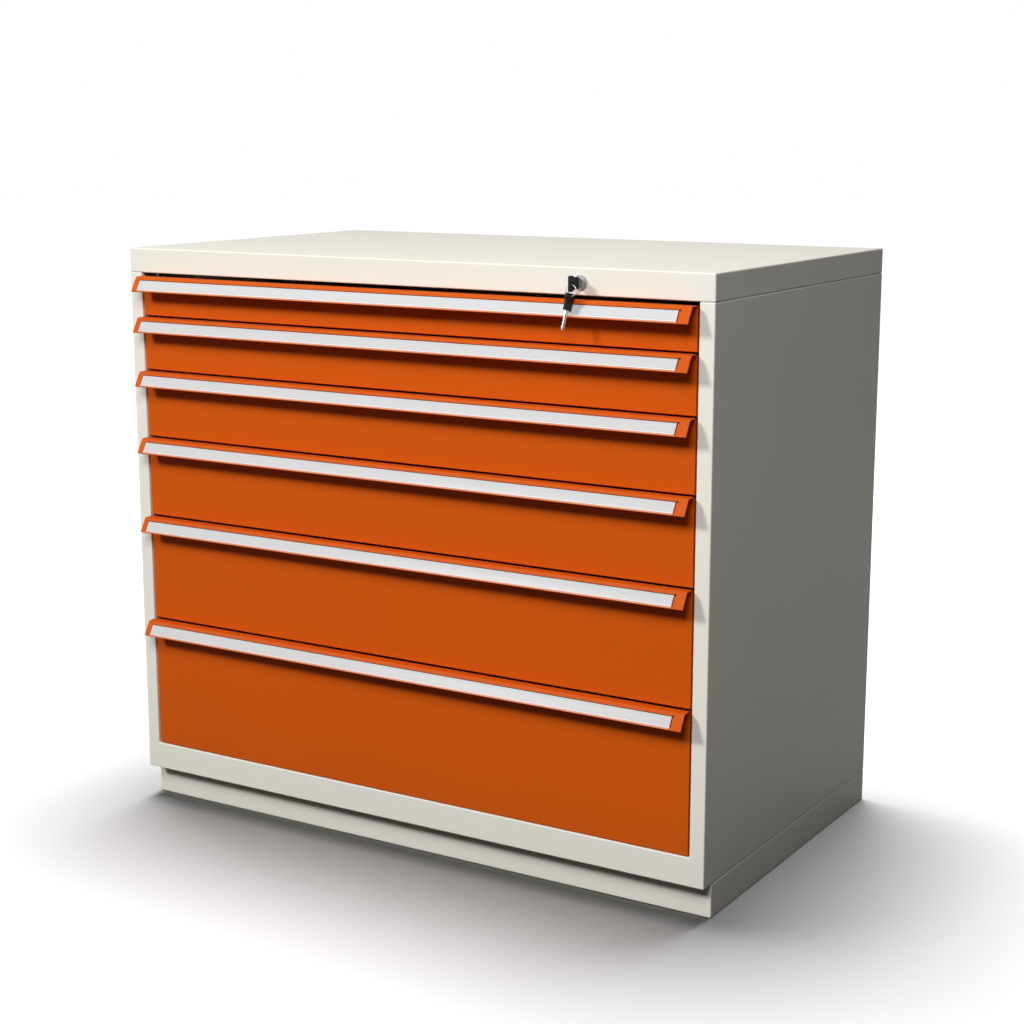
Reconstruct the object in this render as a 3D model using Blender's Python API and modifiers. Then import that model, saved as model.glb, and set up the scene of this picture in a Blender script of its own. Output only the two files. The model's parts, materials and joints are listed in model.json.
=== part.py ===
"""Workshop drawer cabinet: folded sheet steel body on a plinth, six full-extension drawers, central lock.

Metres, +Z up, front towards -Y. The origin is the middle of the whole object's footprint, on the floor.
"""

import math

import bmesh
import bpy
from mathutils import Matrix, Vector

# Body
WIDTH = 1.193
DEPTH = 0.703
HEIGHT = 1.060
SHEET = 0.0015
SEAT_GAP = 0.0003
BEND_STEPS = 3
OVERRUN = 0.004
MERGE_DISTANCE = 0.00003

# Plinth
PLINTH_HEIGHT = 0.060
PLINTH_SETBACK = 0.030
PLINTH_LIP = 0.025
PLINTH_RADIUS = 0.0025

# Front frame: two stiles and a bottom rail in one folded sheet
STILE_WIDTH = 0.027
BOTTOM_RAIL_TOP = 0.1105
FRAME_RADIUS = 0.002
STILE_RETURN = 0.015
EDGE_RETURN = 0.004
STILE_NOTCH = 0.012

# Side, back and floor sheets
SIDE_FLANGE = 0.018
SIDE_RADIUS = 0.002
BACK_FOLD = 0.015
FLOOR_FRONT_FOLD = 0.040
FLOOR_FRONT_HEM = 0.012

# Top cover
COVER_HEIGHT = 0.0450
COVER_LIP = 0.012
COVER_RADIUS = 0.0025

# Drawers, top to bottom
TOP_DRAWER_PITCH = 0.075
LOWER_DRAWER_SHARES = (4, 5, 6, 8, 10)
STACK_GAP = 0.0045
DRAWER_FOOT_GAP = 0.0012
DRAWER_TOP_GAP = 0.0025
DRAWER_SIDE_GAP = 0.0035
FRONT_RECESS = 0.0015
FRONT_SHEET = 0.00125
FRONT_FOLD = 0.012
FRONT_RADIUS = 0.0018
RETURN_INSET = 0.000125

# Grip along the top edge of each front
GRIP_FLANGE = 0.0177
GRIP_PLATE = 0.0299
GRIP_LEAN = math.radians(30)
GRIP_BEND_RADIUS = 0.0015
GRIP_FACING = 0.0014
GRIP_FACING_START = 0.0004
LABEL_POCKET_DEPTH = 0.0012
LABEL_TOP_BAND = 0.0063
LABEL_BOTTOM_LIP = 0.0032
LABEL_LEFT_END = 0.0115
LABEL_RIGHT_END = 0.0175
LABEL_END_SLOT = 0.0020
LABEL_THICKNESS = 0.0006

# Drawer boxes
BOX_SHEET = 0.0010
RAIL_SPACE = 0.0215
BOX_DEPTH = 0.635
BOX_RISE = 0.008
BOX_TOP_CLEARANCE = 0.0065
BOX_LIP = 0.008
BOX_RADIUS = 0.0020

# Telescopic rails, one set each side of a drawer
RAIL_LENGTH = 0.600
RAIL_SHEET = 0.0015
RAIL_START = 0.036
RAIL_RISE = 0.026
RAIL_GAP = 0.0004
RAIL_BEND_RADIUS = 0.0022
INNER_RAIL_HALF_HEIGHT = 0.0150
INNER_RAIL_REACH = 0.0100
MIDDLE_RAIL_REACH = 0.0090
CABINET_RAIL_REACH = 0.0115
RAIL_WEB_GAP = 0.0010
WELD = 0.0005

# Uprights that carry the cabinet rails
UPRIGHT_WIDTH = 0.040

# Lock in the front of the top cover
LOCK_FROM_CENTRE = 0.3595
LOCK_BELOW_TOP = 0.0240
BARREL_RADIUS = 0.0092
BARREL_LENGTH = 0.0235
ROSETTE_RADIUS = 0.0120
ROSETTE_THICKNESS = 0.0030
NOSE_RADIUS = 0.0088
NOSE_LENGTH = 0.0070
LOCK_CHAMFER = 0.0007
PLUG_RADIUS = 0.0060
PLUG_CLEARANCE = 0.0003
LOCK_TURN = math.radians(90)
TAIL_SIDE = 0.0060
TAIL_LENGTH = 0.0020
NUT_THICKNESS = 0.0050
NUT_RADIUS = 0.0135
CAM_REACH = 0.0140
CAM_HALF_WIDTH = 0.0058
LINK_THICKNESS = 0.0020
LINK_PIN_RADIUS = 0.0020
LINK_SLACK = 0.0007
LAYER_GAP = 0.0006
SCREW_HEAD_RADIUS = 0.0040
SCREW_HEAD_THICKNESS = 0.0020
SCREW_RADIUS = 0.0014
SCREW_DEPTH = 0.0026

# Transfer rod, bell crank and locking bar
ROD_HEIGHT = 0.0140
ROD_END = 0.0070
CRANK_INPUT = 0.0220
CRANK_OUTPUT = 0.0110
CRANK_PIVOT_RADIUS = 0.0025
CRANK_HALF_WIDTH = 0.0050
CRANK_DROP = 0.0095
BAR_FROM_OPENING = 0.0036
BAR_HALF_WIDTH = 0.0040
BAR_HEAD_HALF_WIDTH = 0.0052
BAR_HEAD_HALF_HEIGHT = 0.0048
LUG_REACH = 0.0092
LUG_HEIGHT = 0.0060
LUG_ABOVE_RAIL = 0.0012
CATCH_ABOVE_LUG = 0.0070
CATCH_HEIGHT = 0.0090
CATCH_REACH = 0.0180
CATCH_THICKNESS = 0.0020
CATCH_GAP = 0.0010
GUIDE_HEIGHT = 0.0080
GUIDE_WALL = 0.0020
GUIDE_CLEARANCE = 0.0004
ROD_GUIDE_LENGTH = 0.0160
BAR_FOOT_BELOW_LUG = 0.0300

# Keys and their ring
BOW_LENGTH = 0.0272
BOW_WIDTH = 0.0255
BOW_NECK_WIDTH = 0.0198
BOW_NECK_LENGTH = 0.0125
BOW_FLARE_LENGTH = 0.0080
BOW_FLARE_RADIUS = 0.0120
BOW_THICKNESS = 0.0044
BOW_CORNER_RADIUS = 0.0015
BOW_HOLE_RADIUS = 0.0026
BOW_HOLE_FROM_END = 0.0062
BLADE_LENGTH = 0.0320
BLADE_WIDTH = 0.0080
BLADE_THICKNESS = 0.0020
BLADE_TIP_RADIUS = 0.0025
BLADE_IN_BOW = 0.0060
BOW_STAND_OFF = 0.0101
KEYWAY_CLEARANCE = 0.0003
RING_RADIUS = 0.0094
RING_WIRE_RADIUS = 0.0008
RING_LEAN = math.radians(6)
SPARE_LEAN = math.radians(7)
SPARE_TILT = math.radians(6.5)

# Derived places
KEY_HOLE_OUT = BOW_STAND_OFF + BOW_LENGTH - BOW_HOLE_FROM_END
RING_SAG = RING_RADIUS - math.sqrt(RING_RADIUS**2 - (BOW_THICKNESS / 2) ** 2)
RING_PLAY = BOW_HOLE_RADIUS - RING_WIRE_RADIUS - RING_SAG - SEAT_GAP
SPARE_LENGTH = RING_PLAY + BOW_LENGTH - BOW_HOLE_FROM_END + BLADE_LENGTH
TIP_OUT = math.sin(SPARE_LEAN) * math.cos(RING_LEAN)
TIP_OUT += math.cos(SPARE_LEAN) * math.cos(SPARE_TILT) * math.sin(RING_LEAN)
EDGE_OUT = math.cos(SPARE_LEAN) * math.cos(RING_LEAN)
EDGE_OUT -= math.sin(SPARE_LEAN) * math.cos(SPARE_TILT) * math.sin(RING_LEAN)
FRONT_REACH = (
    KEY_HOLE_OUT
    + RING_RADIUS * (1 + math.cos(SPARE_TILT)) * math.sin(RING_LEAN)
    + (SPARE_LENGTH - BLADE_TIP_RADIUS) * TIP_OUT
    + (BLADE_WIDTH / 2 - BLADE_TIP_RADIUS) * EDGE_OUT
    + BLADE_TIP_RADIUS
)
BODY_FRONT = (FRONT_REACH - DEPTH) / 2
BODY_BACK = BODY_FRONT + DEPTH
HALF_WIDTH = WIDTH / 2
OPENING_HALF_WIDTH = HALF_WIDTH - STILE_WIDTH
INSIDE_HALF_WIDTH = HALF_WIDTH - SHEET - SEAT_GAP
BODY_FOOT = PLINTH_HEIGHT + SEAT_GAP
BODY_TOP = HEIGHT - COVER_HEIGHT - SEAT_GAP / 2
COVER_FOOT = BODY_TOP + SEAT_GAP
SIDE_FRONT = BODY_FRONT + EDGE_RETURN + SEAT_GAP
BACK_PANEL_OUTER = BODY_BACK - SHEET - SEAT_GAP
FLOOR_FOOT = BODY_FOOT + SHEET + SEAT_GAP
FLOOR_TOP = FLOOR_FOOT + SHEET
FLANGE_UNDERSIDE = BODY_TOP - SHEET
FRONT_HALF_WIDTH = OPENING_HALF_WIDTH - DRAWER_SIDE_GAP
BOX_HALF_WIDTH = OPENING_HALF_WIDTH - RAIL_SPACE
BOX_FRONT = FRONT_SHEET + SEAT_GAP
MIDDLE_RAIL_HALF_HEIGHT = INNER_RAIL_HALF_HEIGHT + RAIL_GAP + RAIL_SHEET
CABINET_RAIL_HALF_HEIGHT = MIDDLE_RAIL_HALF_HEIGHT + RAIL_GAP + RAIL_SHEET
LUG_RISE = RAIL_RISE + CABINET_RAIL_HALF_HEIGHT + LUG_ABOVE_RAIL
CATCH_RISE = LUG_RISE + CATCH_ABOVE_LUG
INNER_RAIL_BACK = BOX_HALF_WIDTH - WELD
INNER_RAIL_EDGE = INNER_RAIL_BACK + INNER_RAIL_REACH
MIDDLE_RAIL_BACK = INNER_RAIL_EDGE + RAIL_WEB_GAP + RAIL_SHEET
CABINET_RAIL_BACK = MIDDLE_RAIL_BACK + RAIL_WEB_GAP + RAIL_SHEET
UPRIGHT_WEB = CABINET_RAIL_BACK - WELD
LOCK_Z = HEIGHT - LOCK_BELOW_TOP
PLUG_BACK = BARREL_LENGTH + PLUG_CLEARANCE
CAM_FRONT = PLUG_BACK + SEAT_GAP
CAM_BACK = CAM_FRONT + LINK_THICKNESS
SCREW_HEAD_FRONT = CAM_BACK + SEAT_GAP
ROD_FRONT = SCREW_HEAD_FRONT + SCREW_HEAD_THICKNESS + LAYER_GAP
ROD_BACK = ROD_FRONT + LINK_THICKNESS
CRANK_FRONT = ROD_BACK + LAYER_GAP
CRANK_BACK = CRANK_FRONT + LINK_THICKNESS
BRACKET_FRONT = CRANK_BACK + LAYER_GAP
CATCH_FRONT = ROD_BACK + CATCH_GAP
ROD_TRAVEL = 2 * CAM_REACH * math.sin(LOCK_TURN / 2)
CRANK_SWING = 2 * math.asin(ROD_TRAVEL / 2 / CRANK_INPUT)
BAR_TRAVEL = 2 * CRANK_OUTPUT * math.sin(CRANK_SWING / 2)
ROD_PIN_RISE = CAM_REACH * (1 + math.cos(LOCK_TURN / 2)) / 2
CRANK_PIVOT_Z = LOCK_Z - CRANK_DROP
CRANK_PIN_RISE = CRANK_INPUT * (1 + math.cos(CRANK_SWING / 2)) / 2
OUTPUT_PIN_REACH = CRANK_OUTPUT * (1 + math.cos(CRANK_SWING / 2)) / 2
BAR_X = OPENING_HALF_WIDTH + BAR_FROM_OPENING
CRANK_PIVOT_X = BAR_X - OUTPUT_PIN_REACH
BAR_PIN_Z = CRANK_PIVOT_Z - BAR_TRAVEL / 2
COVER_UNDERSIDE = HEIGHT - SHEET
BLADE_DEPTH = BLADE_LENGTH - BOW_STAND_OFF

ORANGE = (0.70, 0.115, 0.012)
CREAM = (0.76, 0.73, 0.65)
LABEL_GREY = (0.72, 0.73, 0.74)
ZINC = (0.55, 0.56, 0.57)
NICKEL = (0.72, 0.71, 0.69)
BLACK = (0.012, 0.012, 0.013)


def clear_scene():
    """Remove every object that the start-up scene holds."""
    for thing in list(bpy.data.objects):
        bpy.data.objects.remove(thing, do_unlink=True)


def new_collection(name):
    made = bpy.data.collections.new(name)
    bpy.context.scene.collection.children.link(made)
    return made


def new_paint(name, colour, roughness, metallic=0.0):
    paint = bpy.data.materials.new(name)
    paint.use_nodes = True
    shader = paint.node_tree.nodes["Principled BSDF"]
    shader.inputs["Base Color"].default_value = (*colour, 1.0)
    shader.inputs["Roughness"].default_value = roughness
    shader.inputs["Metallic"].default_value = metallic
    paint.diffuse_color = (*colour, 1.0)
    return paint


def add_object(name, data, paint, parent):
    made = bpy.data.objects.new(name, data)
    data.materials.append(paint)
    made.parent = parent
    PARTS.objects.link(made)
    return made


def add_mesh(name, bm, paint, parent):
    """A new object from a bmesh, smooth except at its folds."""
    data = bpy.data.meshes.new(name)
    bm.to_mesh(data)
    bm.free()
    data.shade_smooth()
    data.set_sharp_from_angle(angle=math.radians(35))
    return add_object(name, data, paint, parent)


def add_pivot(name, place, parent=None, turn=(0, 0, 0)):
    """An empty on a joint's axis, for the moving pieces to hang from."""
    made = bpy.data.objects.new(name, None)
    made.location = place
    made.rotation_euler = turn
    made.parent = parent
    PARTS.objects.link(made)
    return made


def add_slab(bm, low, high):
    low, high = Vector(low), Vector(high)
    place = Matrix.Translation((low + high) / 2) @ Matrix.Diagonal((*(high - low), 1))
    bmesh.ops.create_cube(bm, size=1, matrix=place)


def block(name, low, high, paint, parent=None):
    bm = bmesh.new()
    add_slab(bm, low, high)
    return add_mesh(name, bm, paint, parent)


def cylinder(name, radius, front, back, paint, parent=None, centre=(0, 0), segments=24):
    """A round bar along local Z, from depth front to depth back behind the body's face."""
    bm = bmesh.new()
    middle = Matrix.Translation((*centre, -(front + back) / 2))
    bmesh.ops.create_cone(
        bm,
        cap_ends=True,
        segments=segments,
        radius1=radius,
        radius2=radius,
        depth=back - front,
        matrix=middle,
    )
    return add_mesh(name, bm, paint, parent)


def add_boolean(piece, tool, operation):
    """Cut the piece with the tool, or weld the tool to it, and put the tool away."""
    change = piece.modifiers.new(tool.name, "BOOLEAN")
    change.operation = operation
    change.solver = "EXACT"
    change.object = tool
    PARTS.objects.unlink(tool)
    TOOLS.objects.link(tool)
    tool.hide_render = True
    tool.display_type = "WIRE"


def cut(piece, tool):
    add_boolean(piece, tool, "DIFFERENCE")


def weld(piece, tool):
    add_boolean(piece, tool, "UNION")


def left_of(direction):
    return Vector((-direction.y, direction.x))


def arc(centre, start, turn, steps):
    """Points that turn about the centre from the start, both ends included."""
    spoke = start - centre
    return [
        centre + Matrix.Rotation(turn * i / steps, 2) @ spoke for i in range(steps + 1)
    ]


def rounded_path(corners, radii):
    """The path through the corners, with each inner corner bent to its radius."""
    corners = [Vector(c) for c in corners]
    points = [corners[0]]
    for before, corner, after, radius in zip(corners, corners[1:], corners[2:], radii):
        arrive = (corner - before).normalized()
        leave = (after - corner).normalized()
        turn = math.atan2(arrive.cross(leave), arrive.dot(leave))
        start = corner - arrive * radius * math.tan(abs(turn) / 2)
        centre = start + left_of(arrive) * math.copysign(radius, turn)
        points += arc(centre, start, turn, BEND_STEPS)
    return points + [corners[-1]]


def in_space(point, along, axis):
    """A profile point in space, with the profile extruded along the axis."""
    if axis == "X":
        return Vector((along, point.x, point.y))
    if axis == "Y":
        return Vector((point.x, along, point.y))
    return Vector((point.x, point.y, along))


def solidify(piece, thickness, offset):
    skin = piece.modifiers.new("Sheet", "SOLIDIFY")
    skin.thickness = thickness
    skin.offset = offset
    skin.use_even_offset = True


def folded_sheet(name, corners, radii, ends, axis, metal, thickness, paint, parent=None):
    """A sheet bent along a path. Its metal lies on the path's left (1) or right (-1)."""
    bm = bmesh.new()
    start, end = ends
    points = rounded_path(corners, radii)
    row = [bm.verts.new(in_space(p, start, axis)) for p in points]
    edges = [bm.edges.new(pair) for pair in zip(row, row[1:])]
    made = bmesh.ops.extrude_edge_only(bm, edges=edges)["geom"]
    moved = [v for v in made if isinstance(v, bmesh.types.BMVert)]
    bmesh.ops.translate(bm, verts=moved, vec=in_space(Vector((0, 0)), end - start, axis))
    bmesh.ops.recalc_face_normals(bm, faces=bm.faces)
    left = in_space(left_of(points[1] - points[0]), 0, axis)
    side = edges[0].link_faces[0].normal.dot(left) * metal
    made = add_mesh(name, bm, paint, parent)
    solidify(made, thickness, math.copysign(1, side))
    return made


def turn_in(bm, edges, axis, lip):
    """Fold an opening's edges inwards by the lip, square to the axis."""
    made = bmesh.ops.extrude_edge_only(bm, edges=edges)["geom"]
    moved = [v for v in made if isinstance(v, bmesh.types.BMVert)]
    middle = sum((v.co for v in moved), Vector()) / len(moved)
    for vert in moved:
        for i in range(3):
            if i != axis:
                vert.co[i] -= math.copysign(lip, vert.co[i] - middle[i])


def behind(edges, y):
    """The edges that don't lie along the front, at depth y."""
    return [e for e in edges if max(v.co.y for v in e.verts) > y + MERGE_DISTANCE]


def sheet_box(
    name, low, high, openings, lip, radius, thickness, paint, parent=None, plain_front=False
):
    """A folded sheet tray with rounded bends, open on the sides that the normals name."""
    bm = bmesh.new()
    add_slab(bm, low, high)
    bm.normal_update()
    openings = [Vector(o) for o in openings]
    gone = [f for f in bm.faces if any(f.normal.dot(o) > 0 for o in openings)]
    rims = []
    for face in gone:
        axis = max(range(3), key=lambda i, n=face.normal.copy(): abs(n[i]))
        rims.append((list(face.edges), axis))
    bmesh.ops.delete(bm, geom=gone, context="FACES_ONLY")
    for edges, axis in rims:
        if lip:
            turn_in(bm, behind(edges, low[1]) if plain_front else edges, axis, lip)
    bmesh.ops.recalc_face_normals(bm, faces=bm.faces)
    centre = (Vector(low) + Vector(high)) / 2
    wall = max(bm.faces, key=lambda f: f.calc_area())
    if wall.normal.dot(wall.calc_center_median() - centre) < 0:
        bmesh.ops.reverse_faces(bm, faces=bm.faces)
    made = add_mesh(name, bm, paint, parent)
    add_bevel(made, radius)
    solidify(made, thickness, -1)
    return made


def add_bevel(piece, radius):
    bend = piece.modifiers.new("Bends", "BEVEL")
    bend.width = radius
    bend.segments = BEND_STEPS
    bend.limit_method = "ANGLE"
    bend.angle_limit = math.radians(30)


def flat_plate(name, loops, front, thickness, paint, parent, place=(0, 0)):
    """A flat outline with holes, standing square to local Z at a depth behind the face."""
    curve = bpy.data.curves.new(name, "CURVE")
    curve.dimensions = "2D"
    curve.fill_mode = "BOTH"
    curve.extrude = thickness / 2
    for loop in loops:
        spline = curve.splines.new("POLY")
        spline.points.add(len(loop) - 1)
        for point, (x, y) in zip(spline.points, loop):
            point.co = (x, y, 0, 1)
        spline.use_cyclic_u = True
    drawn = bpy.data.objects.new(name, curve)
    PARTS.objects.link(drawn)
    graph = bpy.context.evaluated_depsgraph_get()
    data = bpy.data.meshes.new_from_object(drawn.evaluated_get(graph))
    bpy.data.objects.remove(drawn)
    bpy.data.curves.remove(curve)
    bm = bmesh.new()
    bm.from_mesh(data)
    bmesh.ops.remove_doubles(bm, verts=bm.verts, dist=MERGE_DISTANCE)
    bmesh.ops.recalc_face_normals(bm, faces=bm.faces)
    made = add_mesh(name, bm, paint, parent)
    made.location = (*place, -(front + thickness / 2))
    return made


def circle(radius, centre=(0, 0), count=24):
    """Points round a circle, at equal angles."""
    spokes = [math.tau * i / count for i in range(count)]
    return [
        (centre[0] + radius * math.cos(a), centre[1] + radius * math.sin(a)) for a in spokes
    ]


def rectangle(low, high):
    return [(low[0], low[1]), (high[0], low[1]), (high[0], high[1]), (low[0], high[1])]


def rounded_rectangle(low, high, radius):
    """A rectangle's outline with quarter-circle corners."""
    low, high, inset = Vector(low), Vector(high), Vector((radius, radius))
    near, far = low + inset, high - inset
    centres = ((far.x, far.y), (near.x, far.y), (near.x, near.y), (far.x, near.y))
    points = []
    for quarter, centre in enumerate(centres):
        spoke = Matrix.Rotation(quarter * math.tau / 4, 2) @ Vector((radius, 0))
        points += arc(Vector(centre), Vector(centre) + spoke, math.tau / 4, 4)
    return [tuple(p) for p in points]


def capsule(length, radius, angle):
    """A bar's outline with round ends, from the origin outwards at an angle."""
    turn = Matrix.Rotation(angle, 2)
    side = turn @ Vector((0, radius))
    tip = turn @ Vector((length, 0))
    home = Vector((0, 0))
    points = arc(tip, tip - side, math.pi, 8) + arc(home, side, math.pi, 8)
    return [tuple(p) for p in points]


def upright_slot(half_width, low, high, x=0):
    return rectangle((x - half_width, low), (x + half_width, high))


def build_plinth():
    """The base: four walls with a lip turned in above and below."""
    sheet_box(
        "plinth_frame",
        (-HALF_WIDTH, BODY_FRONT + PLINTH_SETBACK, 0),
        (HALF_WIDTH, BODY_BACK, PLINTH_HEIGHT),
        [(0, 0, 1), (0, 0, -1)],
        PLINTH_LIP,
        PLINTH_RADIUS,
        SHEET,
        BODY_PAINT,
    )


def build_floor():
    """The floor sheet lies on the sides' bottom flanges and turns up behind the bottom rail."""
    front = BODY_FRONT + SHEET + SEAT_GAP
    fold_top = FLOOR_FOOT + FLOOR_FRONT_FOLD
    folded_sheet(
        "floor_panel",
        (
            (front + FLOOR_FRONT_HEM, fold_top),
            (front, fold_top),
            (front, FLOOR_FOOT),
            (BACK_PANEL_OUTER, FLOOR_FOOT),
        ),
        (SIDE_RADIUS, SIDE_RADIUS),
        (-INSIDE_HALF_WIDTH, INSIDE_HALF_WIDTH),
        "X",
        1,
        SHEET,
        BODY_PAINT,
    )


def build_front_frame():
    """Stiles and bottom rail: a U-shaped face whose edges are folded back all round."""
    columns = (-HALF_WIDTH, -OPENING_HALF_WIDTH, OPENING_HALF_WIDTH, HALF_WIDTH)
    rows = (BODY_FOOT, BOTTOM_RAIL_TOP, BODY_TOP - STILE_NOTCH, BODY_TOP)
    bm = bmesh.new()
    bmesh.ops.create_grid(bm, x_segments=3, y_segments=3, size=1)
    for vert in bm.verts:
        column = round((vert.co.x + 1) * 3 / 2)
        row = round((vert.co.y + 1) * 3 / 2)
        vert.co = (columns[column], BODY_FRONT, rows[row])
    bm.normal_update()
    opening = [
        f
        for f in bm.faces
        if abs(f.calc_center_median().x) < OPENING_HALF_WIDTH
        and f.calc_center_median().z > BOTTOM_RAIL_TOP
    ]
    bmesh.ops.delete(bm, geom=opening, context="FACES")
    rim = [e for e in bm.edges if e.is_boundary]
    made = bmesh.ops.extrude_edge_only(bm, edges=rim)["geom"]
    for vert in made:
        if isinstance(vert, bmesh.types.BMVert):
            middle = (BODY_FOOT + SHEET, BODY_TOP - SHEET)
            inner = abs(vert.co.x) < HALF_WIDTH - SHEET and middle[0] < vert.co.z < middle[1]
            vert.co.y += STILE_RETURN if inner else EDGE_RETURN
    bmesh.ops.recalc_face_normals(bm, faces=bm.faces)
    face = min(bm.faces, key=lambda f: f.calc_center_median().y)
    if face.normal.y > 0:
        bmesh.ops.reverse_faces(bm, faces=bm.faces)
    frame = add_mesh("front_frame", bm, BODY_PAINT, None)
    add_bevel(frame, FRAME_RADIUS)
    solidify(frame, SHEET, -1)


def build_side_panel(name, side):
    """A side sheet with flanges turned in at its top, bottom and back."""
    edge = side * (HALF_WIDTH - SIDE_FLANGE)
    outer = side * HALF_WIDTH
    sheet_box(
        name,
        (min(edge, outer), SIDE_FRONT, BODY_FOOT),
        (max(edge, outer), BODY_BACK, BODY_TOP),
        [(-side, 0, 0), (0, -1, 0)],
        0,
        SIDE_RADIUS,
        SHEET,
        BODY_PAINT,
    )


def build_back_panel():
    """The back sheet stands inside the sides' back flanges, folded forward above and below."""
    low = FLOOR_TOP + SEAT_GAP
    high = FLANGE_UNDERSIDE - SEAT_GAP
    folded_sheet(
        "back_panel",
        (
            (BACK_PANEL_OUTER - BACK_FOLD, low),
            (BACK_PANEL_OUTER, low),
            (BACK_PANEL_OUTER, high),
            (BACK_PANEL_OUTER - BACK_FOLD, high),
        ),
        (SIDE_RADIUS, SIDE_RADIUS),
        (-INSIDE_HALF_WIDTH, INSIDE_HALF_WIDTH),
        "X",
        1,
        SHEET,
        BODY_PAINT,
    )


def build_top_cover():
    """The top: a deep tray turned over, its lower edge folded in to lie on the sides."""
    cover = sheet_box(
        "top_cover",
        (-HALF_WIDTH, BODY_FRONT, COVER_FOOT),
        (HALF_WIDTH, BODY_BACK, HEIGHT),
        [(0, 0, -1)],
        COVER_LIP,
        COVER_RADIUS,
        SHEET,
        BODY_PAINT,
    )
    radius = BARREL_RADIUS + SEAT_GAP
    hole = cylinder("lock_hole", radius, -OVERRUN, SHEET + OVERRUN, BODY_PAINT, LOCK_AXIS)
    cut(cover, hole)


def drawer_pitches():
    """The height that each drawer takes up, top drawer first: the lower five share the rest."""
    stack = HEIGHT - COVER_HEIGHT - STACK_GAP - BOTTOM_RAIL_TOP
    shared = (stack - TOP_DRAWER_PITCH) / sum(LOWER_DRAWER_SHARES)
    return [TOP_DRAWER_PITCH] + [shared * share for share in LOWER_DRAWER_SHARES]


def drawer_feet(pitches):
    """The height of each front's lower edge, top drawer first."""
    foot = BOTTOM_RAIL_TOP + DRAWER_FOOT_GAP
    feet = []
    for pitch in reversed(pitches):
        feet.insert(0, foot)
        foot += pitch
    return feet


def rail(name, side, back, reach, half_height, ends, centre_z, paint, parent=None):
    """A C-shaped rail along Y, its web at back and its flanges turned towards the drawer."""
    edge = back - side * reach
    top, bottom = centre_z + half_height, centre_z - half_height
    return folded_sheet(
        name,
        ((edge, top), (back, top), (back, bottom), (edge, bottom)),
        (RAIL_BEND_RADIUS, RAIL_BEND_RADIUS),
        ends,
        "Y",
        -1 if side * reach > 0 else 1,
        RAIL_SHEET,
        paint,
        parent,
    )


def rail_span(front):
    return (front + RAIL_START, front + RAIL_START + RAIL_LENGTH)


def build_runner_frame(name, side, feet):
    """Two uprights and the six cabinet rails that are welded to them, for one side."""
    web = side * UPRIGHT_WEB
    outer = side * INSIDE_HALF_WIDTH
    start, end = rail_span(BODY_FRONT)
    heights = (FLOOR_TOP + SEAT_GAP, FLANGE_UNDERSIDE - SEAT_GAP)
    uprights = []
    for place, low, high in (
        ("front", start, start + UPRIGHT_WIDTH),
        ("rear", end - UPRIGHT_WIDTH, end),
    ):
        uprights.append(
            folded_sheet(
                f"{name}_{place}_upright",
                ((outer, low), (web, low), (web, high), (outer, high)),
                (RAIL_BEND_RADIUS, RAIL_BEND_RADIUS),
                heights,
                "Z",
                -side,
                RAIL_SHEET,
                ZINC_PLATE,
            )
        )
    frame, rear = uprights
    frame.name = name
    back = side * CABINET_RAIL_BACK
    for number, foot in enumerate(feet, 1):
        centre = foot + RAIL_RISE
        long_rail = rail(
            f"{name}_rail_{number}",
            side,
            back,
            CABINET_RAIL_REACH,
            CABINET_RAIL_HALF_HEIGHT,
            (start - WELD, end + WELD),
            centre,
            ZINC_PLATE,
        )
        weld(frame, long_rail)
    weld(frame, rear)


def build_middle_rail(name, side, parent):
    """The middle member of one telescopic rail, in its drawer's coordinates."""
    rail(
        name,
        side,
        side * MIDDLE_RAIL_BACK,
        MIDDLE_RAIL_REACH,
        MIDDLE_RAIL_HALF_HEIGHT,
        rail_span(-FRONT_RECESS),
        RAIL_RISE,
        ZINC_PLATE,
        parent,
    )


def build_drawer_front(name, height, parent):
    """A folded front: bottom and side returns, and the top edge bent out into a grip."""
    grip_y = -GRIP_FLANGE
    grip_z = height - FRONT_SHEET
    tip = Vector((-math.sin(GRIP_LEAN), -math.cos(GRIP_LEAN))) * GRIP_PLATE
    front = folded_sheet(
        name,
        (
            (FRONT_FOLD, 0),
            (0, 0),
            (0, grip_z),
            (grip_y, grip_z),
            (grip_y + tip.x, grip_z + tip.y),
        ),
        (FRONT_RADIUS, GRIP_BEND_RADIUS, GRIP_BEND_RADIUS),
        (-FRONT_HALF_WIDTH, FRONT_HALF_WIDTH),
        "X",
        -1,
        FRONT_SHEET,
        FRONT_PAINT,
        parent,
    )
    grip = add_pivot(f"{name}_grip_bend", (0, grip_y, grip_z), parent, (-GRIP_LEAN, 0, 0))
    add_side_returns(front, name, height, parent)
    add_label_frame(front, name, grip)
    return grip


def add_side_returns(front, name, height, parent):
    """Fold the front's side edges back, clear of its bent top and bottom."""
    for label, side in (("left", -1), ("right", 1)):
        outer = side * (FRONT_HALF_WIDTH - RETURN_INSET)
        inner = side * (FRONT_HALF_WIDTH - RETURN_INSET - FRONT_SHEET)
        fold = block(
            f"{name}_{label}_return",
            (min(outer, inner), FRONT_SHEET / 2, FRONT_SHEET / 2),
            (max(outer, inner), FRONT_FOLD, height - 2 * FRONT_SHEET - GRIP_BEND_RADIUS),
            FRONT_PAINT,
            parent,
        )
        weld(front, fold)


def label_span():
    """Where the label pocket starts and ends across the front."""
    return (-FRONT_HALF_WIDTH + LABEL_LEFT_END, FRONT_HALF_WIDTH - LABEL_RIGHT_END)


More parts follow.
